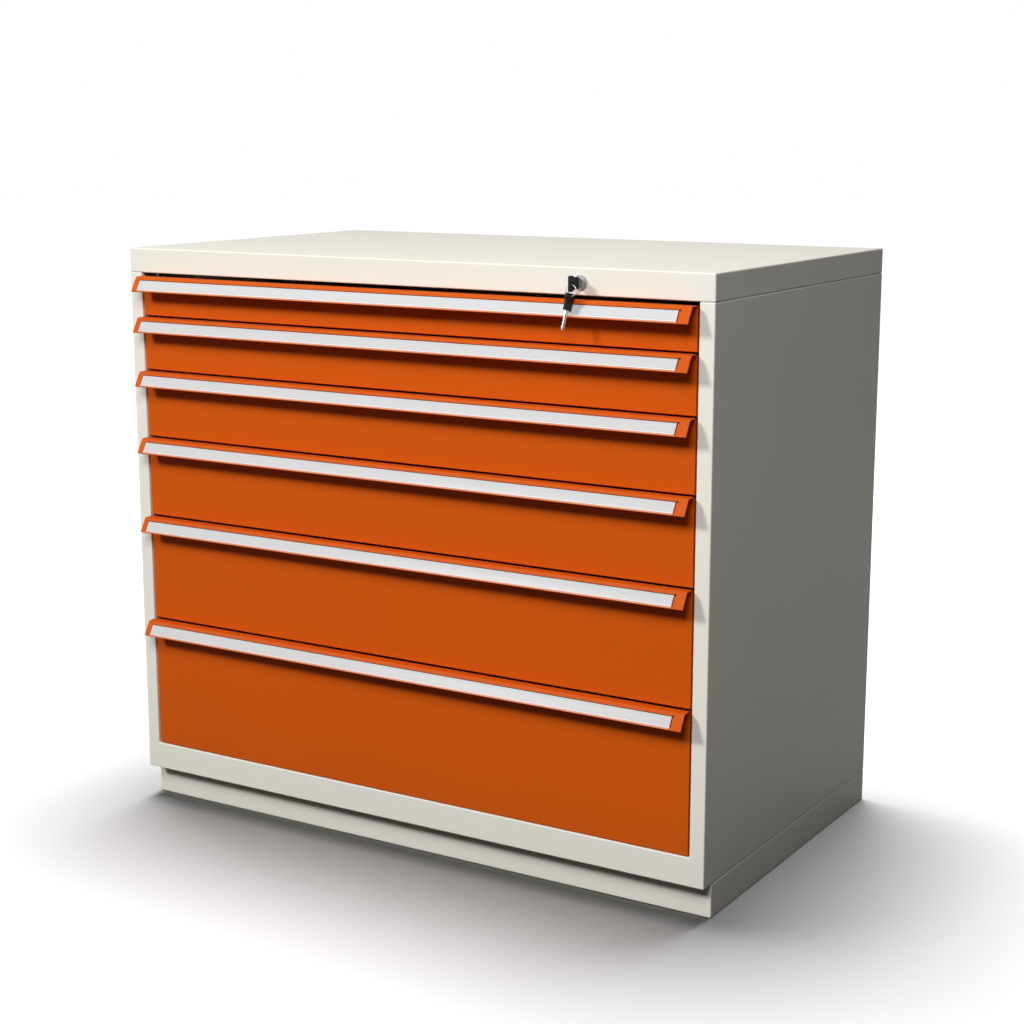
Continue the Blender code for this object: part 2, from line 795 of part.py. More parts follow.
def add_label_frame(front, name, grip):
    """Thicken the grip's plate and sink the label pocket into it, notched at its right end."""
    facing = block(
        f"{name}_grip_facing",
        (-FRONT_HALF_WIDTH, -FRONT_SHEET - GRIP_FACING, -GRIP_PLATE),
        (FRONT_HALF_WIDTH, -FRONT_SHEET / 2, -GRIP_FACING_START),
        FRONT_PAINT,
        grip,
    )
    weld(front, facing)
    start, end = label_span()
    floor = -FRONT_SHEET - GRIP_FACING + LABEL_POCKET_DEPTH
    pocket = block(
        f"{name}_label_pocket",
        (start, floor - OVERRUN, -GRIP_PLATE + LABEL_BOTTOM_LIP),
        (end, floor, -LABEL_TOP_BAND),
        FRONT_PAINT,
        grip,
    )
    cut(front, pocket)
    notch = block(
        f"{name}_label_notch",
        (end - LABEL_END_SLOT, floor - OVERRUN, -LABEL_TOP_BAND - LABEL_END_SLOT),
        (end + LABEL_END_SLOT / 2, OVERRUN, -LABEL_TOP_BAND + LABEL_END_SLOT / 2),
        FRONT_PAINT,
        grip,
    )
    cut(front, notch)


def build_label_strip(name, grip):
    """The paper label under its clear strip, lying in the grip's pocket."""
    start, end = label_span()
    floor = -FRONT_SHEET - GRIP_FACING + LABEL_POCKET_DEPTH - SEAT_GAP
    block(
        name,
        (start + SEAT_GAP, floor - LABEL_THICKNESS, -GRIP_PLATE + LABEL_BOTTOM_LIP + SEAT_GAP),
        (end - LABEL_END_SLOT, floor, -LABEL_TOP_BAND - SEAT_GAP),
        LABEL_STRIP,
        grip,
    )


def build_drawer_box(name, height, parent):
    """The tray, its edges turned in but at the front, with inner rails and the lock's catch."""
    top = height - BOX_TOP_CLEARANCE
    tray = sheet_box(
        name,
        (-BOX_HALF_WIDTH, BOX_FRONT, BOX_RISE),
        (BOX_HALF_WIDTH, BOX_FRONT + BOX_DEPTH, top),
        [(0, 0, 1)],
        BOX_LIP,
        BOX_RADIUS,
        BOX_SHEET,
        BOX_PAINT,
        parent,
        plain_front=True,
    )
    for label, side in (("left", -1), ("right", 1)):
        inner = rail(
            f"{name}_{label}_inner_rail",
            side,
            side * INNER_RAIL_BACK,
            -INNER_RAIL_REACH,
            INNER_RAIL_HALF_HEIGHT,
            rail_span(-FRONT_RECESS),
            RAIL_RISE,
            BOX_PAINT,
            parent,
        )
        weld(tray, inner)
    catch_y = CATCH_FRONT - FRONT_RECESS
    catch = block(
        f"{name}_catch",
        (BOX_HALF_WIDTH - WELD, catch_y, CATCH_RISE),
        (BOX_HALF_WIDTH + CATCH_REACH, catch_y + CATCH_THICKNESS, CATCH_RISE + CATCH_HEIGHT),
        BOX_PAINT,
        parent,
    )
    weld(tray, catch)


def build_drawer(number, pitch, foot):
    """One drawer on its own axis: front with grip, label, tray and the two middle rails."""
    name = f"drawer_{number}"
    place = (0, BODY_FRONT + FRONT_RECESS, foot)
    slide = add_pivot(f"{name}_slide", place)
    height = pitch - DRAWER_TOP_GAP
    grip = build_drawer_front(f"{name}_front", height, slide)
    build_label_strip(f"{name}_label_strip", grip)
    build_drawer_box(f"{name}_box", height, slide)
    carrier = add_pivot(f"{name}_middle_rail_slide", place)
    build_middle_rail(f"{name}_left_middle_rail", -1, carrier)
    build_middle_rail(f"{name}_right_middle_rail", 1, carrier)


def turned(name, profile, paint, parent):
    """A ring turned about local Z from a closed profile of (radius, distance out) points."""
    bm = bmesh.new()
    row = [bm.verts.new((r, 0, z)) for r, z in profile]
    for pair in zip(row, row[1:] + row[:1]):
        bm.edges.new(pair)
    made = add_mesh(name, bm, paint, parent)
    spin = made.modifiers.new("Turned", "SCREW")
    spin.steps = 32
    spin.render_steps = 32
    spin.merge_threshold = MERGE_DISTANCE
    return made


def build_lock_body():
    """The lock's fixed pieces: rosette, nose and barrel in one, and the nut behind the sheet."""
    bore = PLUG_RADIUS + PLUG_CLEARANCE
    chamfer = LOCK_CHAMFER
    turned(
        "lock_housing",
        (
            (bore, NOSE_LENGTH),
            (NOSE_RADIUS - chamfer, NOSE_LENGTH),
            (NOSE_RADIUS, NOSE_LENGTH - chamfer),
            (NOSE_RADIUS, SEAT_GAP + ROSETTE_THICKNESS),
            (ROSETTE_RADIUS - chamfer, SEAT_GAP + ROSETTE_THICKNESS),
            (ROSETTE_RADIUS, SEAT_GAP + ROSETTE_THICKNESS - chamfer),
            (ROSETTE_RADIUS, SEAT_GAP),
            (BARREL_RADIUS, SEAT_GAP),
            (BARREL_RADIUS, -BARREL_LENGTH),
            (bore, -BARREL_LENGTH),
        ),
        LOCK_METAL,
        LOCK_AXIS,
    )
    flat_plate(
        "lock_nut",
        (circle(NUT_RADIUS, count=6), circle(BARREL_RADIUS + SEAT_GAP)),
        SHEET + SEAT_GAP,
        NUT_THICKNESS,
        ZINC_PLATE,
        LOCK_AXIS,
    )


def build_plug():
    """The turning plug: keyway in front, square tail and screw hole behind."""
    plug = cylinder("lock_plug", PLUG_RADIUS, -NOSE_LENGTH, PLUG_BACK, LOCK_METAL, LOCK_AXIS)
    half = TAIL_SIDE / 2
    tail_back = PLUG_BACK + TAIL_LENGTH
    tail = block(
        "plug_tail",
        (-half, -half, -tail_back),
        (half, half, -PLUG_BACK + WELD),
        LOCK_METAL,
        LOCK_AXIS,
    )
    weld(plug, tail)
    slot_x = BLADE_THICKNESS / 2 + KEYWAY_CLEARANCE
    slot_y = BLADE_WIDTH / 2 + KEYWAY_CLEARANCE
    keyway = block(
        "plug_keyway",
        (-slot_x, -slot_y, -BLADE_DEPTH - KEYWAY_CLEARANCE),
        (slot_x, slot_y, NOSE_LENGTH + OVERRUN),
        LOCK_METAL,
        LOCK_AXIS,
    )
    cut(plug, keyway)
    hole_front = tail_back - SCREW_DEPTH
    radius = SCREW_RADIUS + SEAT_GAP
    hole = cylinder("plug_hole", radius, hole_front, tail_back + OVERRUN, LOCK_METAL, LOCK_AXIS)
    cut(plug, hole)


def pin(name, centre, front, back, paint, parent):
    return cylinder(name, LINK_PIN_RADIUS, front, back, paint, parent, centre, 16)


def build_cam():
    """The cam on the plug's tail, with its pin in the rod's slot, and the screw that holds it."""
    rest = math.pi / 2 - LOCK_TURN / 2
    half = TAIL_SIDE / 2 + SEAT_GAP
    cam = flat_plate(
        "lock_cam",
        (capsule(CAM_REACH, CAM_HALF_WIDTH, rest), rectangle((-half, -half), (half, half))),
        CAM_FRONT,
        LINK_THICKNESS,
        ZINC_PLATE,
        LOCK_AXIS,
    )
    place = (CAM_REACH * math.cos(rest), CAM_REACH * math.sin(rest))
    peg = pin("cam_pin", place, CAM_FRONT + WELD, ROD_BACK + SEAT_GAP, ZINC_PLATE, LOCK_AXIS)
    weld(cam, peg)
    screw = cylinder(
        "cam_screw",
        SCREW_HEAD_RADIUS,
        SCREW_HEAD_FRONT,
        SCREW_HEAD_FRONT + SCREW_HEAD_THICKNESS,
        ZINC_PLATE,
        LOCK_AXIS,
    )
    shank_front = PLUG_BACK + TAIL_LENGTH - SCREW_DEPTH + SEAT_GAP
    shank_back = SCREW_HEAD_FRONT + WELD
    shank = cylinder("screw_shank", SCREW_RADIUS, shank_front, shank_back, ZINC_PLATE, LOCK_AXIS)
    weld(screw, shank)


def build_rod():
    """The flat rod that carries the cam's travel to the bell crank, with a slot at each end."""
    start = ROD_TRAVEL / 2
    end = CRANK_PIVOT_X - LOCK_FROM_CENTRE + ROD_TRAVEL / 2
    middle = (ROD_PIN_RISE + CRANK_PIN_RISE - CRANK_DROP) / 2
    half_height = ROD_HEIGHT / 2
    half_slot = LINK_PIN_RADIUS + LINK_SLACK
    cam_play = (1 - math.cos(LOCK_TURN / 2)) * CAM_REACH / 2 + half_slot
    crank_play = (1 - math.cos(CRANK_SWING / 2)) * CRANK_INPUT / 2 + half_slot
    crank_pin = CRANK_PIN_RISE - CRANK_DROP
    flat_plate(
        "transfer_rod",
        (
            rectangle((start - ROD_END, middle - half_height), (end + ROD_END, middle + half_height)),
            upright_slot(half_slot, ROD_PIN_RISE - cam_play, ROD_PIN_RISE + cam_play, start),
            upright_slot(half_slot, crank_pin - crank_play, crank_pin + crank_play, end),
        ),
        ROD_FRONT,
        LINK_THICKNESS,
        ZINC_PLATE,
        LOCK_AXIS,
    )
    build_rod_guide(middle, half_height, (start + end) / 2)


def build_rod_guide(middle, half_height, x):
    """A staple under the cover's top that the rod slides through."""
    low = middle - half_height - GUIDE_CLEARANCE
    high = middle + half_height + GUIDE_CLEARANCE
    ceiling = COVER_UNDERSIDE - LOCK_Z - SEAT_GAP
    guide = block(
        "rod_guide",
        (x - ROD_GUIDE_LENGTH / 2, low - GUIDE_WALL, -ROD_BACK - GUIDE_WALL),
        (x + ROD_GUIDE_LENGTH / 2, ceiling, -ROD_FRONT + GUIDE_WALL),
        ZINC_PLATE,
        LOCK_AXIS,
    )
    way = block(
        "rod_way",
        (x - ROD_GUIDE_LENGTH, low, -ROD_BACK - GUIDE_CLEARANCE),
        (x + ROD_GUIDE_LENGTH, high, -ROD_FRONT + GUIDE_CLEARANCE),
        ZINC_PLATE,
        LOCK_AXIS,
    )
    cut(guide, way)


def build_crank():
    """The bell crank that turns the rod's travel into the bar's, and the bracket it turns on."""
    pivot = add_pivot("crank_pivot", (CRANK_PIVOT_X, BODY_FRONT, CRANK_PIVOT_Z), None, FACING)
    output_angle = -CRANK_SWING / 2
    input_angle = math.pi / 2 - CRANK_SWING / 2
    crank = flat_plate(
        "bell_crank",
        (capsule(CRANK_INPUT, CRANK_HALF_WIDTH, input_angle),),
        CRANK_FRONT,
        LINK_THICKNESS,
        ZINC_PLATE,
        pivot,
    )
    arm = flat_plate(
        "crank_output_arm",
        (capsule(CRANK_OUTPUT, CRANK_HALF_WIDTH, output_angle),),
        CRANK_FRONT,
        LINK_THICKNESS,
        ZINC_PLATE,
        pivot,
    )
    weld(crank, arm)
    bore = cylinder(
        "crank_bore",
        CRANK_PIVOT_RADIUS + SEAT_GAP,
        CRANK_FRONT - OVERRUN,
        CRANK_BACK + OVERRUN,
        ZINC_PLATE,
        pivot,
    )
    cut(crank, bore)
    pin_front = ROD_FRONT - SEAT_GAP
    for label, reach, angle in (
        ("input", CRANK_INPUT, input_angle),
        ("output", CRANK_OUTPUT, output_angle),
    ):
        place = (reach * math.cos(angle), reach * math.sin(angle))
        peg = pin(f"crank_{label}_pin", place, pin_front, CRANK_BACK - WELD, ZINC_PLATE, pivot)
        weld(crank, peg)
    build_crank_bracket(pivot)


def build_crank_bracket(pivot):
    """A plate that hangs from the cover's top and holds the crank's pivot."""
    ceiling = COVER_UNDERSIDE - CRANK_PIVOT_Z - SEAT_GAP
    half = CRANK_HALF_WIDTH * 2
    bracket = block(
        "crank_bracket",
        (-half, -CRANK_HALF_WIDTH, -BRACKET_FRONT - LINK_THICKNESS),
        (half, ceiling, -BRACKET_FRONT),
        ZINC_PLATE,
        pivot,
    )
    foot = block(
        "crank_bracket_foot",
        (-half, ceiling - LINK_THICKNESS, -BRACKET_FRONT - 2 * CRANK_HALF_WIDTH),
        (half, ceiling, -BRACKET_FRONT - WELD),
        ZINC_PLATE,
        pivot,
    )
    weld(bracket, foot)
    stud = cylinder(
        "crank_stud",
        CRANK_PIVOT_RADIUS,
        CRANK_FRONT - SEAT_GAP,
        BRACKET_FRONT + WELD,
        ZINC_PLATE,
        pivot,
    )
    weld(bracket, stud)


def build_locking_bar(feet):
    """The upright bar behind the right stile, with one lug for each drawer's catch."""
    axis = add_pivot("locking_bar_slide", (BAR_X, BODY_FRONT, 0), None, FACING)
    low = feet[-1] + LUG_RISE - BAR_FOOT_BELOW_LUG
    high = BAR_PIN_Z + BAR_HEAD_HALF_HEIGHT
    neck = BAR_PIN_Z - BAR_HEAD_HALF_HEIGHT
    outline = [
        (BAR_HALF_WIDTH, low),
        (BAR_HALF_WIDTH, neck),
        (BAR_HEAD_HALF_WIDTH, neck),
        (BAR_HEAD_HALF_WIDTH, high),
        (-BAR_HEAD_HALF_WIDTH, high),
        (-BAR_HEAD_HALF_WIDTH, neck),
        (-BAR_HALF_WIDTH, neck),
    ]
    for foot in feet:
        lug = foot + LUG_RISE
        outline += [
            (-BAR_HALF_WIDTH, lug + LUG_HEIGHT),
            (-BAR_HALF_WIDTH - LUG_REACH, lug + LUG_HEIGHT),
            (-BAR_HALF_WIDTH - LUG_REACH, lug),
            (-BAR_HALF_WIDTH, lug),
        ]
    outline.append((-BAR_HALF_WIDTH, low))
    play = (1 - math.cos(CRANK_SWING / 2)) * CRANK_OUTPUT / 2 + LINK_PIN_RADIUS + LINK_SLACK
    half_slot = LINK_PIN_RADIUS + GUIDE_CLEARANCE
    slot = rectangle((-play, BAR_PIN_Z - half_slot), (play, BAR_PIN_Z + half_slot))
    flat_plate("locking_bar", (outline, slot), ROD_FRONT, LINK_THICKNESS, ZINC_PLATE, axis)
    below_top_lug = feet[0] + LUG_RISE - BAR_TRAVEL - GUIDE_HEIGHT
    build_bar_guide("lower_bar_guide", low + BAR_TRAVEL, axis)
    build_bar_guide("upper_bar_guide", below_top_lug, axis)


def build_bar_guide(name, low, axis):
    """A staple on the front upright that the locking bar slides through."""
    way_half = BAR_HALF_WIDTH + GUIDE_CLEARANCE
    half = way_half + GUIDE_WALL
    guide = block(
        name,
        (-half, low, -RAIL_START + SEAT_GAP),
        (half, low + GUIDE_HEIGHT, -ROD_FRONT + GUIDE_CLEARANCE + GUIDE_WALL),
        ZINC_PLATE,
        axis,
    )
    way = block(
        f"{name}_way",
        (-way_half, low - OVERRUN, -ROD_BACK - GUIDE_CLEARANCE),
        (way_half, low + GUIDE_HEIGHT + OVERRUN, -ROD_FRONT + GUIDE_CLEARANCE),
        ZINC_PLATE,
        axis,
    )
    cut(guide, way)


def bow_outline(far, near):
    """A bow's outline: wide round the ring's hole, narrower at the blade, with a soft step between."""
    wide = BOW_WIDTH / 2
    slim = BOW_NECK_WIDTH / 2
    shoulder = near - BOW_NECK_LENGTH
    start = shoulder - BOW_FLARE_LENGTH
    corners = [(near, 0), (near, slim), (shoulder, slim), (start, wide), (far, wide)]
    corners += [(x, -y) for x, y in reversed(corners)]
    radii = (BOW_CORNER_RADIUS, BOW_FLARE_RADIUS, BOW_FLARE_RADIUS, BOW_CORNER_RADIUS)
    return [tuple(p) for p in rounded_path(corners, radii + radii[::-1])][1:]


def build_key(bow_name, blade_name, parent, near):
    """A key along local X with its blade's tip away from the bow, and near the bow's inner end."""
    far = near - BOW_LENGTH
    hole_x = far + BOW_HOLE_FROM_END
    bow = flat_plate(
        bow_name,
        (bow_outline(far, near), circle(BOW_HOLE_RADIUS, (hole_x, 0), 16)),
        -BOW_THICKNESS / 2,
        BOW_THICKNESS,
        KEY_PLASTIC,
        parent,
    )
    mouth_x = near - BLADE_IN_BOW - SEAT_GAP
    mouth_y = BLADE_WIDTH / 2 + SEAT_GAP
    mouth_z = BLADE_THICKNESS / 2 + SEAT_GAP
    mouth = block(
        f"{bow_name}_mouth",
        (mouth_x, -mouth_y, -mouth_z),
        (near + OVERRUN, mouth_y, mouth_z),
        KEY_PLASTIC,
        parent,
    )
    cut(bow, mouth)
    flat_plate(
        blade_name,
        (
            rounded_rectangle(
                (near - BLADE_IN_BOW, -BLADE_WIDTH / 2),
                (near + BLADE_LENGTH, BLADE_WIDTH / 2),
                BLADE_TIP_RADIUS,
            ),
        ),
        -BLADE_THICKNESS / 2,
        BLADE_THICKNESS,
        LOCK_METAL,
        parent,
    )


def build_keys():
    """The key in the lock, the ring through its bow and the spare key that hangs from it."""
    key_turn = (0, math.radians(90), 0)
    held = add_pivot("key_in_lock", (0, 0, BOW_STAND_OFF), LOCK_AXIS, key_turn)
    build_key("key_bow", "key_blade", held, 0)
    place = (0, -RING_PLAY, KEY_HOLE_OUT)
    swing = add_pivot("key_ring_swing", place, LOCK_AXIS, (-RING_LEAN, 0, 0))
    bpy.ops.mesh.primitive_torus_add(
        major_radius=RING_RADIUS,
        minor_radius=RING_WIRE_RADIUS,
        major_segments=32,
        minor_segments=6,
        location=(0, 0, 0),
    )
    ring = bpy.context.object
    ring.name = "key_ring"
    for home in list(ring.users_collection):
        home.objects.unlink(ring)
    PARTS.objects.link(ring)
    ring.parent = swing
    ring.location = (0, -RING_RADIUS, 0)
    ring.data.materials.append(LOCK_METAL)
    ring.data.shade_smooth()
    build_spare_key(swing)


def build_spare_key(swing):
    """The spare hangs from the ring a little to one side of its lowest point, blade down."""
    middle = (0, -RING_RADIUS, 0)
    tilt = add_pivot("spare_key_tilt", middle, swing, (0, 0, -SPARE_TILT))
    hang = add_pivot("spare_key_swing", middle, tilt, (-SPARE_LEAN, 0, 0))
    down = Matrix.Rotation(math.radians(-90), 4, "Z") @ Matrix.Rotation(math.radians(90), 4, "X")
    place = (0, -RING_PLAY, 0)
    spare = add_pivot("spare_key", place, hang, down.to_euler())
    build_key("spare_key_bow", "spare_key_blade", spare, BOW_LENGTH - BOW_HOLE_FROM_END)


def main():
    pitches = drawer_pitches()
    feet = drawer_feet(pitches)
    build_plinth()
    build_floor()
    build_front_frame()
    build_side_panel("left_side_panel", -1)
    build_side_panel("right_side_panel", 1)
    build_back_panel()
    build_top_cover()
    build_runner_frame("left_runner_frame", -1, feet)
    build_runner_frame("right_runner_frame", 1, feet)
    for number, (pitch, foot) in enumerate(zip(pitches, feet), 1):
        build_drawer(number, pitch, foot)
    build_lock_body()
    build_plug()
    build_cam()
    build_rod()
    build_crank()
    build_locking_bar(feet)
    build_keys()


clear_scene()
PARTS = new_collection("drawer_cabinet")
TOOLS = new_collection("cutters")
BODY_PAINT = new_paint("cream_powder_coat", CREAM, 0.45)
FRONT_PAINT = new_paint("orange_powder_coat", ORANGE, 0.42)
BOX_PAINT = new_paint("tray_powder_coat", CREAM, 0.5)
LABEL_STRIP = new_paint("label_strip", LABEL_GREY, 0.35)
ZINC_PLATE = new_paint("zinc_plated_steel", ZINC, 0.38, 1.0)
LOCK_METAL = new_paint("nickel_plated_brass", NICKEL, 0.25, 1.0)
KEY_PLASTIC = new_paint("black_key_plastic", BLACK, 0.4)
FACING = (math.radians(90), 0, 0)
LOCK_AXIS = add_pivot("lock_axis", (LOCK_FROM_CENTRE, BODY_FRONT, LOCK_Z), None, FACING)
main()
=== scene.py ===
"""Studio scene of a workshop drawer cabinet: body, six drawers, central lock and its keys.

Sizes and places are in metres, angles in radians unless their names say degrees, and powers in
watts. X runs to the cabinet's right as seen from the front, Y to its back and Z up.
"""

from __future__ import annotations

import json
import logging
import math
from collections.abc import Iterable, Mapping, Sequence
from dataclasses import dataclass, field
from enum import Enum, IntEnum

import bmesh
import bpy
from mathutils import Matrix, Vector

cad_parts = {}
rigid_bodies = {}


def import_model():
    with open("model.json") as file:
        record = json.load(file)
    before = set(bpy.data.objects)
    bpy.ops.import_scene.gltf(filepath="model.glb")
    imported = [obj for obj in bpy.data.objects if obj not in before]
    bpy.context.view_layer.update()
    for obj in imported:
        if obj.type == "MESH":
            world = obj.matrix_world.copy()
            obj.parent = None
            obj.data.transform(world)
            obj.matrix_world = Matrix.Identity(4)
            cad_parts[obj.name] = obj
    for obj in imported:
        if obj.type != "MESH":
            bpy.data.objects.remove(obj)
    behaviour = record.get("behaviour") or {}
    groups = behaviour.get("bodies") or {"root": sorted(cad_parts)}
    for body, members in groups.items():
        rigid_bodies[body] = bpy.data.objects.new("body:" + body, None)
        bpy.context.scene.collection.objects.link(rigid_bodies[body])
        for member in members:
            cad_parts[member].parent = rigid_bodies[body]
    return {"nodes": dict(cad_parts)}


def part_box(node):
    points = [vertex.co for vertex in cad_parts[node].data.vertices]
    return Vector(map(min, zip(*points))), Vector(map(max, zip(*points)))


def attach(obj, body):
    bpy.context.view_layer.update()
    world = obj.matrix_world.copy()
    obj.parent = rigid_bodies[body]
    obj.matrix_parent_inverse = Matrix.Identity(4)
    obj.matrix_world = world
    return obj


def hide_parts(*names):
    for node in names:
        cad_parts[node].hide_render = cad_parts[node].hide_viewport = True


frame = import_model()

LOG = logging.getLogger("drawer_cabinet")
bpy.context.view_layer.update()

Colour = tuple[float, float, float]
Triple = tuple[float, float, float]
Point = tuple[float, float]

DRAWER_COUNT = 6

CREAM = (0.84, 0.815, 0.73)
TRAY_CREAM = (0.82, 0.785, 0.705)
ORANGE = (0.60, 0.093, 0.0035)
SATIN_GREY = (0.36, 0.36, 0.35)
# A pale grey painted highlight along the label cover's lower rim.
COVER_EDGE_HIGHLIGHT = (0.84, 0.84, 0.84)
# Dark brown painted shadow under the label cover's top rim and in the slit at its right end.
SLIT_SHADE = (0.09, 0.022, 0.004)
LIP_TINT = (0.64, 0.28, 0.16)
BLACK = (0.0, 0.0, 0.0)
WHITE = (1.0, 1.0, 1.0)

WELD_DISTANCE = 0.00001
MERGE_DISTANCE = 0.000001
BEND_ANGLE = math.radians(34)
ROUNDED_ANGLE = math.radians(32)
FACE_WEIGHT = 100
QUARTER_TURN = math.radians(90)


class StripSlot(IntEnum):
    """The material slots of a label."""

    FILM = 0
    # The second slot is a painted highlight along the cover's lower rim.
    EDGE = 1
    # The third slot is painted shadow under the cover's top rim and in the slit at its right end.
    PAINTED_SHADOW = 2
    LIP = 3


class Reach(Enum):
    """What a soft box falls on."""

    ALL_BUT_FLOOR = "EXCLUDE"
    FLOOR_ALONE = "INCLUDE"


@dataclass(frozen=True)
class Grain:
    """A noise: its features to a metre, its finer layers and its stretch along each axis."""

    per_metre: float
    layers: float = 2.0
    stretch: Triple = (1.0, 1.0, 1.0)


class Term:
    """A node's output that takes part in Python arithmetic."""

    def __init__(self, graph: Graph, socket: bpy.types.NodeSocket) -> None:
        """Keep the output and the graph that it belongs to."""
        self.graph = graph
        self.socket = socket

    def _combine(self, operation: str, left: Term | float, right: Term | float) -> Term:
        """Add one Math node.

        Args:
            operation: the Math node's operation.
            left: the first value or term.
            right: the second value or term.

        Returns:
            The result as a term.
        """
        settings = {"operation": operation}
        node = self.graph.node("ShaderNodeMath", settings, {0: left, 1: right})
        return Term(self.graph, node.outputs[0])

    def __add__(self, other: Term | float) -> Term:
        """Return this plus the other."""
        return self._combine("ADD", self, other)

    def __radd__(self, other: Term | float) -> Term:
        """Return the other plus this."""
        return self._combine("ADD", other, self)

    def __sub__(self, other: Term | float) -> Term:
        """Return this less the other."""
        return self._combine("SUBTRACT", self, other)

    def __rsub__(self, other: Term | float) -> Term:
        """Return the other less this."""
        return self._combine("SUBTRACT", other, self)

    def __mul__(self, other: Term | float) -> Term:
        """Return this times the other."""
        return self._combine("MULTIPLY", self, other)

    def __rmul__(self, other: Term | float) -> Term:
        """Return the other times this."""
        return self._combine("MULTIPLY", other, self)

    def above(self, edge: float, width: float) -> Term:
        """Rise from 0 to 1 over a width that is centred on an edge.

        Args:
            edge: where the result is one half.
            width: how far it takes to rise.

        Returns:
            The mask as a term.
        """
        settings = {"interpolation_type": "SMOOTHSTEP"}
        low, high = edge - width / 2, edge + width / 2
        node = self.graph.node("ShaderNodeMapRange", settings, {0: self, 1: low, 2: high})
        return Term(self.graph, node.outputs[0])


class Graph:
    """The nodes of one material or of the world."""

    # A Mix node has sockets for each kind of value: these are the ones for colours.
    mix_factor, mix_low, mix_high, mix_result = 0, 6, 7, 2

    def __init__(self, tree: bpy.types.NodeTree) -> None:
        """Start from an empty node tree."""
        self.tree = tree
        tree.nodes.clear()

    def node(
        self,
        kind: str,
        settings: Mapping[str, object] | None = None,
        inputs: Mapping[str | int, object] | None = None,
    ) -> bpy.types.Node:
        """Add a node, set it up, and then fill its sockets.

        Args:
            kind: the node's type.
            settings: its own properties.
            inputs: the value, term or output for each socket, by name or number.

        Returns:
            The new node.
        """
        made = self.tree.nodes.new(kind)
        for name, value in (settings or {}).items():
            setattr(made, name, value)
        for key, value in (inputs or {}).items():
            self._fill(made.inputs[key], value)
        return made

    def _fill(self, socket: bpy.types.NodeSocket, value: object) -> None:
        """Link a term or an output to a socket, or store a plain value in it.

        Args:
            socket: the input.
            value: the term, output or plain value.
        """
        if isinstance(value, Term):
            self.tree.links.new(value.socket, socket)
        elif isinstance(value, bpy.types.NodeSocket):
            self.tree.links.new(value, socket)
        else:
            socket.default_value = value

    def place(self) -> bpy.types.NodeSocket:
        """Return the surface's own coordinates, in metres."""
        return self.node("ShaderNodeTexCoord").outputs["Object"]

    def axis(self, letter: str) -> Term:
        """Return one of the surface's own coordinates, in metres."""
        parts = self.node("ShaderNodeSeparateXYZ", None, {0: self.place()})
        return Term(self, parts.outputs[letter])

    def noise(self, grain: Grain) -> Term:
        """Add a noise.

        Args:
            grain: its size, layers and stretch.

        Returns:
            The noise, from 0 to 1.
        """
        settings = {"operation": "MULTIPLY"}
        inputs = {0: self.place(), 1: grain.stretch}
        place = self.node("ShaderNodeVectorMath", settings, inputs).outputs[0]
        inputs = {"Vector": place, "Scale": grain.per_metre, "Detail": grain.layers}
        return Term(self, self.node("ShaderNodeTexNoise", None, inputs).outputs[0])

    def blend(self, factor: Term, low: Colour | Term, high: Colour | Term) -> Term:
        """Mix two colours.

        Args:
            factor: 0 for the first colour, 1 for the second.
            low: the first colour or a term.
            high: the second colour or a term.

        Returns:
            The mixed colour.
        """
        low = (*low, 1.0) if isinstance(low, tuple) else low
        high = (*high, 1.0) if isinstance(high, tuple) else high
        inputs = {self.mix_factor: factor, self.mix_low: low, self.mix_high: high}
        node = self.node("ShaderNodeMix", {"data_type": "RGBA"}, inputs)
        return Term(self, node.outputs[self.mix_result])

    def bump(self, height: Term, depth: float) -> Term:
        """Turn a height from 0 to 1 into a normal.

        Args:
            height: the height term.
            depth: the real depth of height 1, in metres.

        Returns:
            The normal.
        """
        node = self.node("ShaderNodeBump", None, {"Distance": depth, "Height": height})
        return Term(self, node.outputs[0])

    def surface(self, inputs: Mapping[str | int, object]) -> None:
        """Finish a material with a Principled shader."""
        shader = self.node("ShaderNodeBsdfPrincipled", None, inputs)
        self.node("ShaderNodeOutputMaterial", None, {0: shader.outputs[0]})


def new_material(name: str) -> tuple[bpy.types.Material, Graph]:
    """Make an empty material.

    Args:
        name: the material's name.

    Returns:
        The material and the graph of its nodes.
    """
    material = bpy.data.materials.new(name)
    material.use_nodes = True
    return material, Graph(material.node_tree)


def shade(colour: Colour, factor: float) -> Colour:
    """Return a colour made lighter or darker by a factor."""
    return tuple(min(1.0, part * factor) for part in colour)


